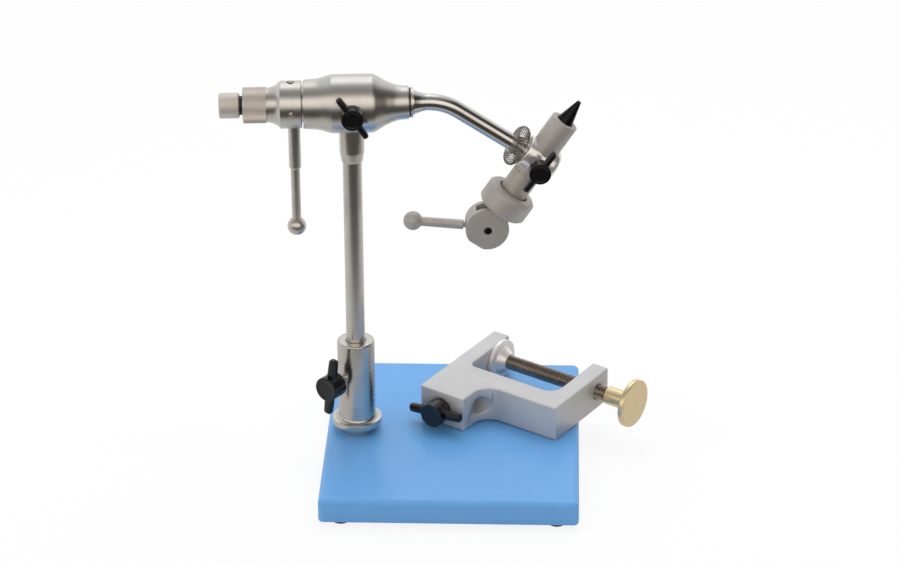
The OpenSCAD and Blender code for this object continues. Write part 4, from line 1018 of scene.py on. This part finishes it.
spot = vector_of(threading, maths(threading, "MULTIPLY", here["X"], narrow),
                 maths(threading, "MULTIPLY", here["Y"], narrow), here["Z"])
skin = add(threading, "GeometryNodeSetPosition", {"Geometry": bar.outputs[0], "Position": spot})
end_tree(threading, skin.outputs[0], given, result)

thread = grown("clamp_screw_thread", threading, {
    "Radius": 0.00396, "Depth": 0.00095, "Pitch": 0.00141, "Length": 0.0669, "Rings": 380,
    "Finish": screw_steel,
}, SPINDLE @ shift(0, 0, 22.55), 60)
stands_for(thread, "clamp_spindle", "dark_steel", "clamp_screw")
neck = turned("clamp_screw_neck", SPINDLE, [(0, -15.1), (2.78, -15.1), (2.78, -10.5), (0, -10.5)],
              screw_steel, 48)
stands_for(neck, "clamp_spindle", "dark_steel")

# %% [markdown]
# ## The table clamp and its pad
# The clamp was cast or milled from light alloy and blasted, so all of its edges are soft. The
# solid has the right outline, and its holes run right through. Drawing it again would only risk
# moving a hole, so a copy of it is merged and bevelled. The pad swivels on the screw's tip, and
# the knob at the other end is turned from brass.

# %% Clamp body
clamp = softened("clamp_frame", "clamp_cast", 0.9, clamp_alloy)
stands_for(clamp, "table_clamp", "cast_alloy", "clamp_frame")

# %% Pad and brass knob
pad = turned("clamp_pad_turned", SPINDLE, rounded([
    (0, -17.6), (11, -17.6), (11, -15.2), (7.4, -15.2), (7.2, -14.6), (4.9, -11.3), (4.7, -11),
    (2.83, -11), (2.83, -15.2)
], 0.4) + [(0, -15.2)], pad_steel)
stands_for(pad, "pad", "polished_steel", "clamp_pad")
brass_line = rounded([(3.99, 50.4), (4.75, 50.4), (4.75, 60.6)], 0.5)
brass_line += smooth_line([
    (4.75, 60.7), (4.95, 61.3), (5.6, 62.1), (6.8, 62.9), (8.3, 63.6), (9.8, 63.95)
])
brass_line += rounded([(9.9, 64), (12.7, 64), (12.7, 67), (0, 67)], 0.7)
brass_line += [(0, 64.02), (3.99, 64.02)]
brass_knob = turned("clamp_knob_turned", SPINDLE, brass_line, brass, hollow=True)
stands_for(brass_knob, "clamp_spindle", "brass", "clamp_knob")

# %% [markdown]
# ## The base plate
# The base is a thick steel plate under a smooth blue powder coat. A cube with a Bevel modifier is
# the quick way to such a plate. Here rings are lofted round it, so that upright corners and top
# edge share one radius, as on a ground plate, and the thick coat shows no hard line.

# %% Base plate
PLATE_WIDE, PLATE_DEEP, PLATE_CORNER, PLATE_BOTTOM = 130, 148, 3, 2.5


def plate_ring(inset, height):
    """The plate's outline with round corners, drawn in by an inset, in millimetres."""
    round_by = PLATE_CORNER - inset
    loop = []
    for corner, (sx, sy) in enumerate(((1, 1), (-1, 1), (-1, -1), (1, -1))):
        for step in range(9):
            angle = math.radians(90 * corner + 90 * step / 8)
            loop.append((sx * (PLATE_WIDE / 2 - PLATE_CORNER) + round_by * math.cos(angle),
                         sy * (PLATE_DEEP / 2 - PLATE_CORNER) + round_by * math.sin(angle),
                         height))
    return loop


loops = [plate_ring(inset, PLATE_BOTTOM + up) for inset, up in ((0.8, 0), (0.25, 0.2), (0, 0.8))]
for step in range(9):
    lean = math.radians(90 * step / 8)
    inset = min(PLATE_CORNER * (1 - math.cos(lean)), PLATE_CORNER - 0.01)
    loops.append(plate_ring(inset, PLATE_TOP - PLATE_CORNER + PLATE_CORNER * math.sin(lean)))
plate = lofted("base_plate_coated", STEM @ shift(49.5, -1, 0), loops, powder_coat)
drill(plate, STEM, 3.15, 1.5, PLATE_TOP + 1)
drill(plate, STEM, 5.75, 1.5, 9.3)
stands_for(plate, "base", "plate", "base_plate")
